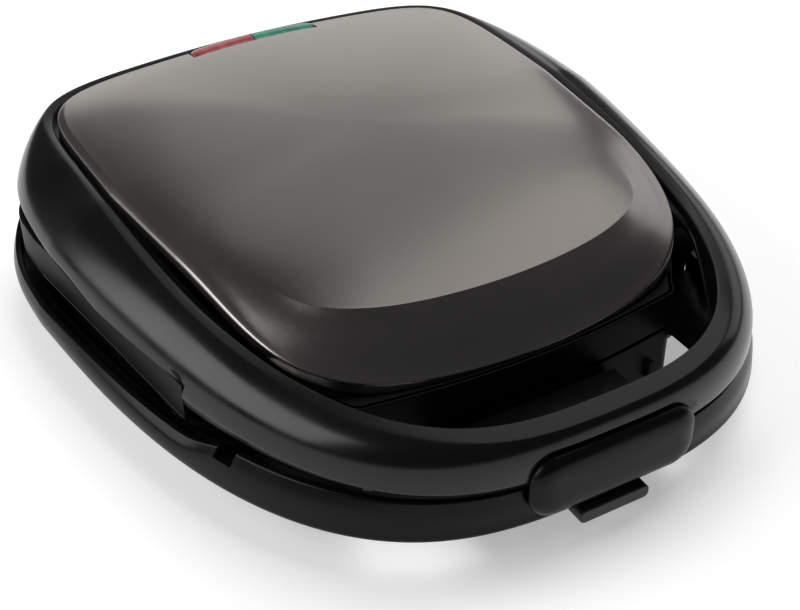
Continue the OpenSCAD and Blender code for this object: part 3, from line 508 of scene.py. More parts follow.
# ---- Base tub ------------------------------------------------------------------------
# The base's inner shell, moulded in the same black but left satin. The lower grill plate lies
# in its top, and it is screwed to the bottom cover; the lead comes in through its back wall.

floor_z, tub_top, tub_wall = 6.0, 26.5, 2.5
plate_line = (107, -76, 113, 5, 4, 0.06, 0)


def plate_outline(grow):
    return [on_outline(plate_line, a) + outward(plate_line, a) * grow for a in all_round[::2]]


def hinge_bay(side):
    return block(*sorted((side * (hinge_x - 16.9), side * (hinge_x + 16.9))),
                 hinge_y - 12, hinge_y + 18, -5, 120)


tub = mould("tub", slab(both_sides(tub_half(0)), floor_z, tub_top))
carve(tub, slab(both_sides(tub_half(tub_wall)), floor_z - 1, tub_top - tub_wall),
      slab(plate_outline(0.8), tub_top - tub_wall - 1, tub_top + 6),
      hinge_bay(1), hinge_bay(-1), lead_hole)
ease_edges(tub, 0.45)
plate_screws = [(58, -58), (74, 101)]
tub_posts = []
for x, y in plate_screws:
    for sign in (1, -1):
        post = mould("post", peg(7, sign * x, y, floor_z + 2, 24))
        carve(post, peg(3, sign * x, y, floor_z, 26))
        along = (y + 2.5, y + 11.5) if y > 0 else (liner_front + 2.3, y - 2.5)
        rib = block(*sorted((sign * (x - 1), sign * (x + 1))), *along, floor_z + 2, floor_z + 10)
        tub_posts += [post, mould("rib", rib)]
tub = join("tub", tub, *tub_posts)
satin_black = moulded("satin_black", (0.004, 0.004, 0.0045), (0.025, 0.024, 0.025), 0.3, 0.42,
                      depth=0.03, tooth=0.9, IOR=1.18, Specular_IOR_Level=0.25)
dress(tub, satin_black, "liner", "base", "base_tub")


# ---- Bottom cover, feet and lead bush ------------------------------------------------
# The bottom cover is a painted steel sheet with two rows of vents. Four moulded rubber feet
# are pressed through it, and a rubber bush lines the hole of the mains lead.

sheet_paint, tree, shader = finish_of("sheet_paint", Metallic=0.0, IOR=1.5)
skin = use(tree, moulded_skin, Gloss=0.34, Dull=0.5, Tooth=900.0, Depth=1.6)
worn = use(tree, wear_and_dust, Edge=0.9, Dust=0.5)
tint(tree, shader.inputs["Base Color"], combine(tree, "ADD", worn["Worn"], worn["Dusty"]),
     (0.05, 0.05, 0.052), (0.2, 0.19, 0.18))
tree.links.new(skin["Roughness"], shader.inputs["Roughness"])
relief(tree, shader, skin["Height"], 0.05)

rubber, tree, shader = finish_of("rubber", IOR=1.5)
skin = use(tree, moulded_skin, Gloss=0.6, Dull=0.82, Patch=90.0, Tooth=1500.0, Depth=1.2)
worn = use(tree, wear_and_dust, Edge=0.6, Dust=0.9)
tint(tree, shader.inputs["Base Color"], combine(tree, "ADD", worn["Worn"], worn["Dusty"]),
     (0.016, 0.016, 0.016), (0.09, 0.085, 0.08))
tree.links.new(skin["Roughness"], shader.inputs["Roughness"])
relief(tree, shader, skin["Height"], 0.06)


def coat_part(name, finish):
    """Give a part of the drawing, whose shape is right as it is, its real finish."""
    mesh = parts[name].data
    mesh.materials.clear()
    mesh.materials.append(finish)


coat_part("bottom_cover", sheet_paint)
coat_part("feet", rubber)
coat_part("cord_gland", rubber)


# ---- Grill plates --------------------------------------------------------------------
# Two equal die-cast aluminium plates with a dark non-stick coat. Each has four triangular
# pockets that press and halve two sandwiches, and is held by four screws from its face.

plate_z, upper_face, plate_t, pocket_h = 27.0, 27.6, 3.0, 7.0


def pocket_line(corners, inset, radius):
    """A triangle with rounded corners, drawn in by inset."""
    c = [Vector(p) for p in corners]
    sides = [(c[1] - c[2]).length, (c[2] - c[0]).length, (c[0] - c[1]).length]
    middle = (c[0] * sides[0] + c[1] * sides[1] + c[2] * sides[2]) / sum(sides)
    area = abs((c[1] - c[0]).cross(c[2] - c[0])) / 2
    k = 1 - (inset + radius) / (2 * area / sum(sides))
    line = []
    turns = []
    for i in range(3):
        e = c[(i + 1) % 3] - c[i]
        turns.append(math.degrees(math.atan2(-e.x, e.y)))
    for i in range(3):
        a0, a1 = turns[i - 1], turns[i]
        centre = middle + (c[i] - middle) * k
        line += arc(centre.x, centre.y, radius, a0, a1 if a1 >= a0 else a1 + 360, 10)
    return line


def grill_plate(name, face, up):
    low_x, high_x, low_y, high_y = 5, 95, -42, 85
    first = [(low_x, low_y), (high_x, low_y), (low_x, high_y)]
    second = [(high_x, high_y), (low_x, high_y), (high_x, low_y)]
    body = mould(name, slab(plate_outline(0), face - up * plate_t, face))
    lip = [(-1.6, 1), (-0.7, 0), (-0.25, -0.14), (0.05, -0.45), (0.4, -1.2), (0.8, -2.5),
           (1.3, -4.2), (2.0, -5.6), (3.2, -6.5), (5.6, -6.88), (9, -pocket_h)]
    back_of = [(0, -1), (0.4, -2.8), (1.3, -5.5), (2.6, -7.8), (5, -8.9), (9, -9)]
    for form, wall in ((back_of, 2), (lip, 0)):
        for t in (first, second):
            rings = [[at(p, face + up * z) for p in pocket_line(t, 3 + q - wall, 6)]
                     for q, z in form]
            pocket = stack(rings)
            carve(body, pocket, mirrored(pocket), how="UNION" if wall else "DIFFERENCE")
    for x, y in plate_screws:
        for sign in (1, -1):
            carve(body, peg(3.3, sign * x, y, face - 9, face + 9),
                  peg(6.4, sign * x, y, *sorted((face - up * 2, face + up * 3))))
    ease_edges(body, 0.35, angle=60)
    return body


nonstick, tree, shader = finish_of("nonstick", IOR=1.5, Specular_IOR_Level=0.6)
skin = use(tree, moulded_skin, Gloss=0.3, Dull=0.46, Patch=14.0, Tooth=1900.0, Depth=1.5)
worn = use(tree, wear_and_dust, Edge=0.7, Dust=0.15, Speck=1500.0)
flecks = spread(tree, noise(tree, 2300.0, 1.0), 0.66, 0.74)
mask = combine(tree, "ADD", combine(tree, "MULTIPLY", flecks, 0.35), worn["Worn"])
tint(tree, shader.inputs["Base Color"], mask, (0.017, 0.017, 0.019), (0.11, 0.108, 0.105))
tree.links.new(skin["Roughness"], shader.inputs["Roughness"])
relief(tree, shader, skin["Height"], 0.05)
dress(grill_plate("lower_grill", plate_z, 1), nonstick, "nonstick", "base", "lower_plate")
dress(grill_plate("upper_grill", upper_face, -1), nonstick, "nonstick", "lid", "upper_plate")


# ---- Heating elements and reflectors -------------------------------------------------
# Each plate is heated by a bent steel tube, browned by heat, that lies against the castings.
# A bright perforated aluminium sheet behind it throws the heat back.

element_steel, tree, shader = finish_of("element_steel", Metallic=1.0)
browned = spread(tree, noise(tree, 28.0, 4.0), 0.35, 0.68)
tint(tree, shader.inputs["Base Color"], browned, (0.21, 0.2, 0.2), (0.34, 0.24, 0.15))
tree.links.new(spread(tree, noise(tree, 600.0, 3.0), 0.3, 0.7, 0.32, 0.55),
               shader.inputs["Roughness"])
relief(tree, shader, noise(tree, 2200.0, 2.0), 0.02)

bright_sheet, tree, shader = finish_of("bright_sheet", Metallic=1.0)
rolled = noise(tree, 900.0, 3.0, stretch=(1.0, 0.03, 1.0))
tint(tree, shader.inputs["Base Color"], rolled, (0.72, 0.72, 0.74), (0.86, 0.86, 0.87))
tree.links.new(spread(tree, rolled, 0.3, 0.7, 0.16, 0.34), shader.inputs["Roughness"])
relief(tree, shader, rolled, 0.01)
for name in ("lower_element", "upper_element"):
    coat_part(name, element_steel)
for name in ("lower_reflector", "upper_reflector"):
    coat_part(name, bright_sheet)


# ---- Thermostat, fuse, terminals and wires -------------------------------------------
# A ceramic thermostat and a brass-capped fuse sit behind the lower plate. Glass-sleeved wires
# run from them and from the elements to a moulded terminal block and to the signal lamps.

ceramic, tree, shader = finish_of("ceramic", IOR=1.5)
speckle = spread(tree, noise(tree, 1400.0, 4.0), 0.42, 0.7)
tint(tree, shader.inputs["Base Color"], speckle, (0.74, 0.7, 0.6), (0.56, 0.5, 0.4))
tree.links.new(spread(tree, speckle, 0.0, 1.0, 0.42, 0.66), shader.inputs["Roughness"])
relief(tree, shader, speckle, 0.03)

fuse_brass, tree, shader = finish_of("fuse_brass", Metallic=1.0)
stained = spread(tree, noise(tree, 260.0, 5.0), 0.36, 0.7)
tint(tree, shader.inputs["Base Color"], stained, (0.78, 0.6, 0.29), (0.5, 0.36, 0.18))
tree.links.new(spread(tree, stained, 0.0, 1.0, 0.22, 0.5), shader.inputs["Roughness"])
relief(tree, shader, stained, 0.01)

terminal_white = moulded("terminal_white", (0.72, 0.71, 0.66), (0.5, 0.48, 0.43), 0.3, 0.45)

wire_sleeve, tree, shader = finish_of("wire_sleeve", IOR=1.5)
cells = tree.nodes.new("ShaderNodeTexVoronoi")
cells.inputs["Scale"].default_value = 2400.0
tree.links.new(tree.nodes.new("ShaderNodeTexCoord").outputs["Object"], cells.inputs["Vector"])
plait = cells.outputs["Distance"]
tint(tree, shader.inputs["Base Color"], plait, (0.42, 0.38, 0.3), (0.7, 0.66, 0.56))
tree.links.new(spread(tree, plait, 0.0, 1.0, 0.6, 0.9), shader.inputs["Roughness"])
relief(tree, shader, plait, 0.08)
for name, finish in (("thermostat", ceramic), ("thermal_fuse", fuse_brass),
                     ("terminal_block", terminal_white), ("base_wiring", wire_sleeve),
                     ("lid_wiring", wire_sleeve)):
    coat_part(name, finish)


# ---- Screws and pins -----------------------------------------------------------------
# Zinc-plated steel: cross-head screws into the posts of the mouldings, two hinge pins pressed
# through the ears, and the latch's pin with its two small springs.

plated_steel, tree, shader = finish_of("plated_steel", Metallic=1.0)
turned = noise(tree, 3000.0, 2.0, stretch=(1.0, 1.0, 0.15))
tint(tree, shader.inputs["Base Color"], turned, (0.5, 0.5, 0.5), (0.68, 0.68, 0.67))
tree.links.new(spread(tree, turned, 0.3, 0.7, 0.24, 0.42), shader.inputs["Roughness"])
relief(tree, shader, turned, 0.012)
for name in ("lower_plate_screws", "upper_plate_screws", "base_screws", "lid_screws",
             "grip_screws", "hinge_pins", "latch_pin", "latch_spring"):
    coat_part(name, plated_steel)


# ---- Lid housing ---------------------------------------------------------------------
# A glossy black moulding that goes right round the lid. In front it leaves the cover and
# bridges the gap as a handle; at the back it carries the hinge knuckles. Its lower lip steps
# up along the sides.

lid_line = (128.5, front + 4, back, 3, 3.2, 0.12, 0)
crest_line = (106.5, front + 6.2, back - 8, 2.8, 6, 0.02, 0)
inner_line = (103.3, front + 13.7, back - 12, 3, 6.3, 0.06, 0)
cover_line = (101.5, -93.0, 135.0, 6.5, 6.3, 0.115, 15)
bar_z, side_crest_z, lid_wall = 53.5, 65.2, 2.5


def frontness(a):
    return max(0.0, reach_of(a, 3))


def lip_height(a):
    """Height of the lip's edge, and how far above it the wall's curve ends."""
    ahead = max(0.0, -math.sin(math.radians(a)))
    side = ease(1 - ahead / math.sin(math.radians(-step_a)))
    over = mix(4.5, 1, ease((frontness(a) - 0.5) / 0.5))
    return lip_z + 9.5 * side, mix(over, 3.5, side)


def crest_height(a):
    f, behind = frontness(a), max(0.0, -reach_of(a, 6))
    middle = 1 - math.cos(math.radians(a)) ** 2
    if f > 0:
        return mix(side_crest_z, bar_z, f)
    return side_crest_z + behind**2 * (5 * middle**2 - 1.7)


def wall_point(a, s, inset):
    c, l, out = on_outline(crest_line, a), on_outline(lid_line, a), outward(lid_line, a)
    low = sum(lip_height(a))
    turn = math.pi / 2 * s
    p = mix(c, l, mix(s, math.sin(turn), 0.65))
    p = p + out * (1.3 * frontness(a) * math.sin(math.pi * s) - inset * math.sin(turn))
    height = mix(low, crest_height(a), mix(1 - s, math.cos(turn), 0.65))
    return at(p, height - inset * math.cos(turn))


def ring_section(a):
    f, crest = frontness(a), crest_height(a)
    inner = crest + mix(-0.6, 1.5, ease(f * 1.6 - 0.6))
    low = mix(inner - 6, lip_z + 2, ease((f - 0.62) / 0.2))
    i, l, out = on_outline(inner_line, a), on_outline(lid_line, a), outward(lid_line, a)
    i_out = outward(inner_line, a)
    io = i + i_out * 2.2
    under = on_outline(cover_line, a) - outward(cover_line, a) * 0.8
    shelf = mix(i - i_out * 0.4, under, ease((0.66 - f) / 0.08))
    h = lip_height(a)[0]
    section = [(at(i, inner), 0.9), (wall_point(a, 0, 0), 1.5)]
    section += [(wall_point(a, s / 12, 0), 0) for s in range(1, 12)]
    section += [(wall_point(a, 1, 0), 0.5), (at(l - out * 0.7, h), 0.6),
                (at(l - out * (0.7 + lid_wall), h), 0.4)]
    section += [(wall_point(a, s / 4, lid_wall), 0) for s in range(4, -1, -1)]
    section += [(at(io, inner - lid_wall), 0), (at(io, low), 0), (at(shelf, low), 0),
                (at(shelf, low + 2), 0), (at(i, low + 2.3), 0)]
    return rounded(section)


def rounded_rect(w, h, r, n=10):
    return (arc(w / 2 - r, h / 2 - r, r, 0, 90, n) + arc(r - w / 2, h / 2 - r, r, 90, 180, n)
            + arc(r - w / 2, r - h / 2, r, 180, 270, n) + arc(w / 2 - r, r - h / 2, r, 270, 360, n))


def facing_front(outline, z, y0, y1):
    """A slab along Y, from an outline of (x, height above z)."""
    return stack([[Vector((p[0], y, z + p[1])) for p in outline] for y in (y0, y1)])


liner_z, guard_w, guard_flare, guard_h = 28.0, 229.0, 0.12, 22.0
fin_y = guard_y + 7.6


def guard_x(y):
    return guard_w / 2 + guard_flare * (y - guard_y)


def guard_end(room=0.0):
    """The raised, rounded front end of a side guard, as a skin."""
    top, low = liner_z + guard_h - 2.5, lip_z + 8.5
    line = [(0, liner_z + 3), (-46, low), (-46, low + 1.3), (-26, low + 2.3), (-12, top - 1.4)]
    line += arc(-5, top - 5, 5, 95, 0, 12)
    turn = math.atan(guard_flare)
    rings = []
    for d in (-room, 2.6 + room):
        ring = []
        for u, z in line:
            u, z = u + room * (1 if u > -20 else -1), z + (room if z > low else -room)
            x, y = -d, -u
            ring.append(Vector((guard_x(fin_y) - 0.8 + x * math.cos(turn) + y * math.sin(turn),
                                fin_y - x * math.sin(turn) + y * math.cos(turn), z)))
        rings.append(ring)
    return stack(rings)


grip_seat, latch_y, latch_z = front + 5.3, front + 9.1, lip_z + 7
grip_l, grip_h, grip_t, grip_drop = 68.0, 25.5, 5.2, 16.0
lens_l, lens_w, lens_t, cover_back = 30.0, 8.0, 4.4, cover_line[2]
knuckle_w, knuckle_d, pin_hole = 18.0, 11.2, 5.1
post_x, ring_posts = 110.0, [(8.0, 28.2), (74.0, 30.2)]

ring = mould("ring", band([ring_section(a) for a in all_round]))
recess = facing_front(rounded_rect(grip_l + 5, 80, 12, 16), 48 - 40, grip_seat - 20, grip_seat)
lens_gap = block(-lens_l - 1, lens_l + 1, cover_back - lens_w - 3, cover_back + 1.2,
                 lip_z, lip_z + 28.2)
lip_step = block(104, 140, fin_y - 0.1, wide_y, lip_z - 20, lip_z + 9.5)
carve(ring, recess, lens_gap, lip_step, mirrored(lip_step), guard_end(0.15),
      mirrored(guard_end(0.15)))
knuckles = []
for sign in (1, -1):
    x0, x1 = sorted((sign * (hinge_x - knuckle_w / 2), sign * (hinge_x + knuckle_w / 2)))
    knuckle = mould("knuckle", rod(knuckle_d, x0, x1, hinge_y, hinge_z))
    carve(knuckle, block(x0, x1, hinge_y - knuckle_d / 2, back - 3.2, hinge_z, lip_z + 17.5),
          how="UNION")
    carve(knuckle, rod(pin_hole, -120, 120, hinge_y, hinge_z))
    knuckles.append(ease_edges(knuckle, 0.5))
    ear = mould("latch_ear", block(*sorted((sign * 17.9, sign * 21.9)), latch_y - 3.2,
                                   latch_y + 3.2, lip_z + 3, lip_z + 12))
    carve(ear, rod(2.64, -40, 40, latch_y, latch_z))
    knuckles.append(ease_edges(ear, 0.3))
    for y, height in ring_posts:
        post = mould("post", peg(7, sign * post_x, y, liner_z + 3, liner_z + 3 + height))
        carve(post, peg(3, sign * post_x, y, liner_z, liner_z + 16))
        knuckles.append(post)
ring = join("ring", ring, *knuckles)
dress(ring, gloss_black, "housing", "lid", "lid_ring")


# ---- Lid liner -----------------------------------------------------------------------
# The satin black inner shell of the lid. Its front wall closes the lid under the cover's edge.
# A long guard on each side hangs between lid and base; it has a raised round end in front and
# a polished bead along its lower edge.


def liner_half(inset):
    return (
        nose_half(inset, guard_y)
        + arc(guard_w / 2 - 10.8, guard_y + 6, 6 - inset, -90, 0, 8)
        + [(guard_w / 2 - 4.8 - inset, fin_y - 0.2 + inset),
           (guard_x(fin_y) - inset, fin_y - 0.2 + inset)]
        + [(guard_x(guard_back) - inset, guard_back)]
        + arc(guard_x(guard_back) - 34, guard_back + 12, 34 - inset, 4, 82)
        + [(40, back - 19 - inset), (0, back - 18 - inset)]
    )


liner_wall, nose_top, side_top = 2.2, lip_z + 7.1, lip_z + 9.2
nose_count = len(nose_half(0, guard_y))
outer, inside, chamfer = liner_half(0), liner_half(liner_wall), liner_half(1.2)
order = [(k, nose_top if k < nose_count else side_top) for k in range(len(outer))]
order.insert(nose_count, (nose_count - 1, side_top))
sections = []
for k, top in order:
    foot = 1.0 if top == side_top and k >= nose_count else 0.3
    sections.append(rounded([
        (at(mix(Vector(outer[k]), Vector(chamfer[k]), foot), liner_z), 0.3),
        (at(outer[k], liner_z + 1.6 * foot), 0.5), (at(outer[k], top), 0.5),
        (at(inside[k], top), 0.4), (at(inside[k], liner_z + 0.4), 0)]))
turned_over = [[Vector((-p.x, p.y, p.z)) for p in s] for s in reversed(sections[1:-1])]
wall = mould("wall", band(sections + turned_over))
carve(wall, hinge_bay(1), hinge_bay(-1))
floor_of_lid = mould("lid_floor", slab(both_sides(liner_half(1.4)), liner_z + 0.02, liner_z + 3))
carve(floor_of_lid, slab(plate_outline(1), liner_z - 1, liner_z + 5), hinge_bay(1), hinge_bay(-1))
for y, _ in ring_posts:
    for sign in (1, -1):
        carve(floor_of_lid, peg(3.3, sign * post_x, y, liner_z - 2, liner_z + 5),
              peg(6.2, sign * post_x, y, liner_z - 2, liner_z + 1.7))
ease_edges(floor_of_lid, 0.3, angle=60)
collar_line = nose_half(0.5, guard_y) + [(nose_x - 14, guard_y + 5), (0, guard_y + 5)]
collar = mould("collar", slab(both_sides(collar_line), nose_top - 2, nose_top))
carve(collar, slab([on_outline(cover_line, a) + outward(cover_line, a) * 0.4
                    for a in all_round], nose_top - 9, nose_top + 9))
fins = [ease_edges(mould("fin", g), 0.45) for g in (guard_end(), mirrored(guard_end()))]
lid_posts = []
for x, y in plate_screws:
    for sign in (1, -1):
        post = mould("post", peg(7, sign * x, y, 30.6, 40))
        lid_posts.append(carve(post, peg(3, sign * x, y, 29, 42)))
bead_r = 0.6
beads = []
for sign in (1, -1):
    rings = []
    for k in range(25):
        y = mix(fin_y + 1.5, guard_back - 4, k / 24)
        rings.append([Vector((sign * (guard_x(y) - 0.5 + u), y, liner_z + 1.9 + v))
                      for u, v in arc(0, 0, bead_r, 0, 330, 11)])
    beads.append(mould("bead", stack(rings)))
plain = join("plain", wall, floor_of_lid, collar, *fins, *lid_posts)
plain_faces = len(plain.data.polygons)
liner = join("liner", plain, *beads)
dress(liner, satin_black, "liner", "lid", "upper_liner")
liner.data.materials.append(gloss_black)
for face in liner.data.polygons[plain_faces:]:
    face.material_index = 1


# ---- Metal cover ---------------------------------------------------------------------
# A deep-drawn sheet, 0.9 mm thick, with a satin warm grey lacquer over metal. It domes gently to
# a crease in front and drops from there to a thin lip; elsewhere its edge is rolled.

top_z, cover_t, roll_w, cover_crease = 77.0, 0.9, 3.6, 0.875
cover_mid = Vector((0, 32, 0))
front_edge = cover_line[1]


def edge_height(a):
    y = on_outline(cover_line, a).y
    s = min(1.0, max(0.0, (front_edge + 89 - y) / 89))
    drop = side_crest_z + 1.8 - lip_z - 8
    behind, middle = max(0.0, -reach_of(a, 6)), 1 - math.cos(math.radians(a)) ** 2
    return side_crest_z + 1.8 - drop * s**2.1 + behind**2 * (5.5 * middle**2 - 2.6)


def dome_height(a, r):
    f = frontness(a)
    edge = edge_height(a) + mix(1.6, 0.8, f)
    soft = mix(0.85, 0.42, ease(f * 1.3 - 0.2))
    dome = creased = mix(top_z, edge, soft * r * r)
    if r > cover_crease:
        t = (r - cover_crease) / (1 - cover_crease)
        crease = mix(top_z, edge, soft * cover_crease**2)
        creased = mix(crease, edge, t + 0.02 * math.sin(3 * math.pi * t))
    return mix(dome - (top_z - edge) * (1 - soft) * r**12, creased, ease((f - 0.62) / 0.3))


def roll_at(a):
    return mix(roll_w, cover_t + 0.1, ease((frontness(a) - 0.55) / 0.3))


def dome_ring(r, sink=0.0):
    ring = []
    for a in all_round:
        e = on_outline(cover_line, a) - outward(cover_line, a) * roll_at(a)
        ring.append(at(mix(cover_mid, e, r), dome_height(a, r) - sink))
    return ring


def edge_ring(share, below, top_share=0.0, inset=0.0):
    """A ring of the rolled edge: share of the roll's width, or a plain inset, from the outline."""
    ring = []
    for a in all_round:
        p = on_outline(cover_line, a) - outward(cover_line, a) * (share * roll_at(a) + inset)
        ring.append(at(p, mix(edge_height(a), dome_height(a, 1), top_share) - below))
    return ring


steps = [0.06 * k for k in range(1, 12)] + [0.7, 0.74, 0.78, 0.81, 0.84, 0.86, 0.87]
steps += [cover_crease - 0.0005, cover_crease + 0.0005, 0.88, 0.89, 0.9]
steps += [0.915 + 0.015 * k for k in range(6)]
rings = [dome_ring(r) for r in steps]
rings += [edge_ring(0.92, -0.03, 1.0), edge_ring(0.8, 0.05, 0.96), edge_ring(0.53, 0, 0.62),
          edge_ring(0.28, 0, 0.3), edge_ring(0.12, 0.1, 0.1), edge_ring(0.03, 0.4)]
rings += [edge_ring(0, below, inset=inset) for inset, below in (
    (0, 1.0), (0, 2.6), (0.05, 4.2), (0.25, 4.5), (cover_t - 0.1, 4.5), (cover_t, 4.2),
    (cover_t, 1.4))]
rings += [dome_ring(r, cover_t + 0.3) for r in (0.98, 0.93, 0.84, 0.7, 0.42)]
cover = mould("cover", stack(rings, at(cover_mid, top_z), at(cover_mid, top_z - cover_t - 0.3)))
lens_bow, half_notch = 0.0011, lens_l + 0.4
notch = []
for k in range(17):
    x = half_notch * (k / 8 - 1)
    notch.append((x, cover_back - lens_w - 0.6 - lens_bow * x * x))
notch += [(half_notch, cover_back + 3.4), (-half_notch, cover_back + 3.4)]
carve(cover, slab(notch, lip_z + 20, lip_z + 50))

cover_metal, tree, shader = finish_of("cover_metal", Metallic=1.0, Coat_Roughness=0.12,
                                      Coat_IOR=1.5, Coat_Weight=0.25)
flake = noise(tree, 5200.0, 2.0)
cloud = spread(tree, noise(tree, 9.0, 3.0), 0.3, 0.7)
tint(tree, shader.inputs["Base Color"], combine(tree, "ADD", combine(tree, "MULTIPLY", flake, 0.7),
                                                combine(tree, "MULTIPLY", cloud, 0.3)),
     (0.24, 0.225, 0.212), (0.36, 0.34, 0.325))
worn = use(tree, wear_and_dust, Edge=0.3, Dust=0.4, Speck=500.0)
even = spread(tree, cloud, 0.0, 1.0, 0.27, 0.33)
tree.links.new(combine(tree, "ADD", even, combine(tree, "MULTIPLY", worn["Dusty"], 0.2)),
               shader.inputs["Roughness"])
relief(tree, shader, flake, 0.008)
dress(cover, cover_metal, "cover", "lid", "lid_cover", crease=50)


# ---- Signal lights -------------------------------------------------------------------
# Two clear coloured lenses, red and green, lie end to end in a notch in the cover's back edge.
# They are moulded in tinted plastic; a milky block behind them holds the two small lamps.

def lens_skin(side):
    top, y0 = edge_height(90) + 2.6, cover_back - lens_w - 0.3
    rings = []
    for k in range(41):
        s = k / 40
        x = mix(0.25, lens_l, math.sin(s * math.pi / 2))
        d = max(0.0, x - (lens_l - lens_w / 2))
        h = math.sqrt(max(0.16, lens_w * lens_w / 4 - d * d))
        yc, z = y0 + lens_w / 2 - lens_bow * x * x, top - 0.0012 * x * x
        side_on = [((-h, z - lens_t), 0), ((-h, z - 0.5), 0.5), ((-h * 0.5, z + 0.25), 1.2),
                   ((h * 0.5, z), 1.2), ((h, z - 1), 0.5), ((h, z - lens_t), 0)]
        line = rounded([(Vector((side * x, yc + y, z)), r) for (y, z), r in side_on])
        rings.append(line)
    return stack(rings)


def lens_finish(name, colour, deep):
    finish, tree, shader = finish_of(name, IOR=1.49, Transmission_Weight=0.55,
                                     Subsurface_Weight=0.0)
    ribs = noise(tree, 240.0, 2.0, stretch=(1.0, 0.2, 1.0))
    tint(tree, shader.inputs["Base Color"], spread(tree, ribs, 0.3, 0.7), colour, deep)
    skin = use(tree, moulded_skin, Gloss=0.12, Dull=0.22, Depth=0.2)
    tree.links.new(skin["Roughness"], shader.inputs["Roughness"])
    relief(tree, shader, ribs, 0.05)
    return finish


red_clear = lens_finish("red_clear", (0.55, 0.13, 0.12), (0.42, 0.05, 0.06))
green_clear = lens_finish("green_clear", (0.05, 0.42, 0.28), (0.02, 0.27, 0.17))
for side, name, finish in ((-1, "red_lens", red_clear), (1, "green_lens", green_clear)):
    lens = mould(name + "_clear", lens_skin(side))
    dress(lens, finish, name, "lid", name)

milky = moulded("milky", (0.8, 0.8, 0.77), (0.6, 0.6, 0.57), 0.3, 0.45)
coat_part("lamp_carrier", milky)
lamp_glass, tree, shader = finish_of("lamp_glass", IOR=1.45, Transmission_Weight=0.8)
glow = noise(tree, 300.0, 2.0)
tint(tree, shader.inputs["Base Color"], glow, (0.95, 0.62, 0.36), (0.9, 0.75, 0.6))
tree.links.new(spread(tree, glow, 0.3, 0.7, 0.03, 0.1), shader.inputs["Roughness"])
relief(tree, shader, glow, 0.01)
coat_part("lamps", lamp_glass)


# ---- Grip pad ------------------------------------------------------------------------
# A separate glossy black moulding like a cushion. Two screws from inside hold it in the recess
# of the front bar, and it hangs over the latch.

def pad_ring(inset, out):
    w, h, r = grip_l / 2 - inset, grip_h / 2 - inset * 0.8, max(2.0, 10 - inset)
    z = lip_z - grip_drop + grip_h / 2
    line = rounded_rect(2 * w, 2 * h, min(r, h - 0.01), 12)
    return [Vector((x, grip_seat - 0.1 - out * (1 - 0.0001 * x * x), z + y)) for x, y in line]


profile = [(9, 5.2), (7.4, 5.1), (6, 4.96), (4.8, 4.72), (3.8, 4.42), (2.9, 4.05), (2.1, 3.6),
           (1.45, 3.1), (0.9, 2.5), (0.45, 1.85), (0.15, 1.15), (0, 0.5), (0, 0)]
middle_z = lip_z - grip_drop + grip_h / 2
pad = mould("pad", stack([pad_ring(*p) for p in profile],
                         Vector((0, grip_seat - 0.1 - grip_t, middle_z))))
dress(pad, low_black, "grip", "lid", "grip_pad", crease=60)


# ---- Latch lever ---------------------------------------------------------------------
# A matt black lever that swings on its pin inside the front bar. Its stem reaches down through
# the cut-out in the skirt, with a nose for the catch and a tab for the finger.

latch_low, stem_y, latch_t = skirt_z - 3.5, latch_y + 1.3, 3.0
stem = mould("stem", block(-latch_w / 2, latch_w / 2, stem_y - latch_t + 0.4, stem_y,
                           latch_low + 2, latch_z))
barrel = mould("barrel", rod(4.4, -latch_w / 2, latch_w / 2, latch_y, latch_z))
carve(barrel, rod(2.7, -40, 40, latch_y, latch_z))
carve(stem, rod(4.2, -40, 40, latch_y, latch_z))
ease_edges(stem, 0.4)
hook = ease_edges(mould("hook", block(-10, 10, stem_y - 0.2, stem_y + 2.2, catch_z - 4,
                                      catch_z - 1)), 0.4)
tab = mould("tab", facing_front(rounded_rect(latch_w, 5.4, 2.2), latch_low + 2.7, front + 0.8,
                                stem_y))
ease_edges(tab, 0.6, steps=3)
lever = join("lever", stem, barrel, hook, tab)
matt_black = moulded("matt_black", (0.017, 0.015, 0.014), (0.06, 0.055, 0.05), 0.42, 0.55,
                     depth=0.04, tooth=1.2, IOR=1.46)
dress(lever, matt_black, "lever", "latch", "latch_lever")


# ---- Studio --------------------------------------------------------------------------
# A pale floor that keeps a soft shadow, one strong soft light on the left, weaker ones behind,
# above and on the right, and the camera at the photograph's angle. The key light from above
# only lights the floor and the matt faces, so no reflection shows it.


def show_white(tree, shade, add):
    """Add light only where the camera, a reflection or a clear piece looks at the backdrop."""
    path = tree.nodes.new("ShaderNodeLightPath").outputs
    seen = combine(tree, "MAXIMUM", path["Is Camera Ray"], path["Is Glossy Ray"])
    seen = combine(tree, "MAXIMUM", seen, path["Is Transmission Ray"])
    glow = tree.nodes.new("ShaderNodeEmission")
    tree.links.new(combine(tree, "MULTIPLY", seen, add), glow.inputs["Strength"])
    both = tree.nodes.new("ShaderNodeAddShader")
    tree.links.new(shade.outputs[0], both.inputs[0])
    tree.links.new(glow.outputs[0], both.inputs[1])
    return both


paper = bpy.data.materials.new("paper")
paper.use_nodes = True
tree = paper.node_tree
shader = tree.nodes["Principled BSDF"]
shader.inputs["Base Color"].default_value = (0.8, 0.79, 0.8, 1)
shader.inputs["Roughness"].default_value = 0.9
shader.inputs["Specular IOR Level"].default_value = 0.0
lit = show_white(tree, shader, 0.38)
tree.links.new(lit.outputs[0], tree.nodes["Material Output"].inputs["Surface"])

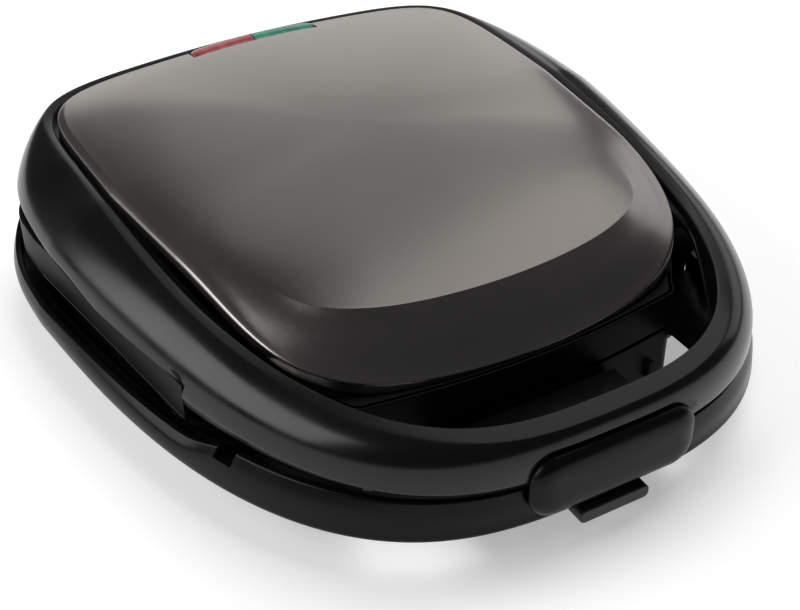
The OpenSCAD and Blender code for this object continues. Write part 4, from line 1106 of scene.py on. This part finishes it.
floor_line = [Vector((x * 1000, y * 1000, 0)) for x, y in arc(0, 0.3, 3.2, 0, 354, 59)]
floor = mould("floor", stack([[at(p, -20) for p in floor_line], [at(p, 0) for p in floor_line]]))
floor.data.materials.append(paper)

world = bpy.data.worlds.new("studio")
bpy.context.scene.world = world
world.use_nodes = True
world.node_tree.nodes["Background"].inputs["Color"].default_value = (0.07, 0.07, 0.073, 1)
world.node_tree.nodes["Background"].inputs["Strength"].default_value = 1.0


def soft_light(name, place, aim, width, height, power, colour=(1, 1, 1), mirrored_too=True):
    lamp = bpy.data.lights.new(name, "AREA")
    lamp.shape, lamp.size, lamp.size_y = "RECTANGLE", width, height
    lamp.energy, lamp.color = power, colour
    light = bpy.data.objects.new(name, lamp)
    light.location = place
    light.rotation_euler = (Vector(aim) - Vector(place)).to_track_quat("-Z", "Y").to_euler()
    light.visible_glossy = mirrored_too
    bpy.context.scene.collection.objects.link(light)


soft_light("left", (-1.03, 0.24, 0.60), (0, 0, 0.04), 1.2, 0.8, 11)
soft_light("behind", (0.54, 1.34, 0.40), (0, 0.05, 0.05), 1.3, 0.62, 2.5, (1, 0.975, 0.95))
soft_light("above", (0.54, 0.93, 0.90), (0, 0, 0.05), 0.9, 0.6, 0.6, (1, 0.98, 0.965))
soft_light("right", (0.66, 0.20, 1.12), (0, 0, 0.05), 0.9, 1.1, 2.6, (1, 0.98, 0.965))
soft_light("side", (1.20, 0.25, 0.40), (0, 0, 0.05), 1.0, 0.5, 1.3)
soft_light("key", (0.50, 0.30, 1.40), (0, 0, 0), 1.3, 1.3, 14, mirrored_too=False)

lens_of = bpy.data.cameras.new("camera")
lens_of.lens, lens_of.sensor_width = 67.5, 36
lens_of.clip_start, lens_of.clip_end = 0.01, 20
camera = bpy.data.objects.new("camera", lens_of)
camera.location = (-0.2514, -0.4326, 0.3740)
camera.rotation_euler = (Vector((-0.02025, -0.036, 0.036)) - camera.location).to_track_quat(
    "-Z", "Y").to_euler()
bpy.context.scene.collection.objects.link(camera)
bpy.context.scene.camera = camera
bpy.context.scene.view_settings.view_transform = "Standard"
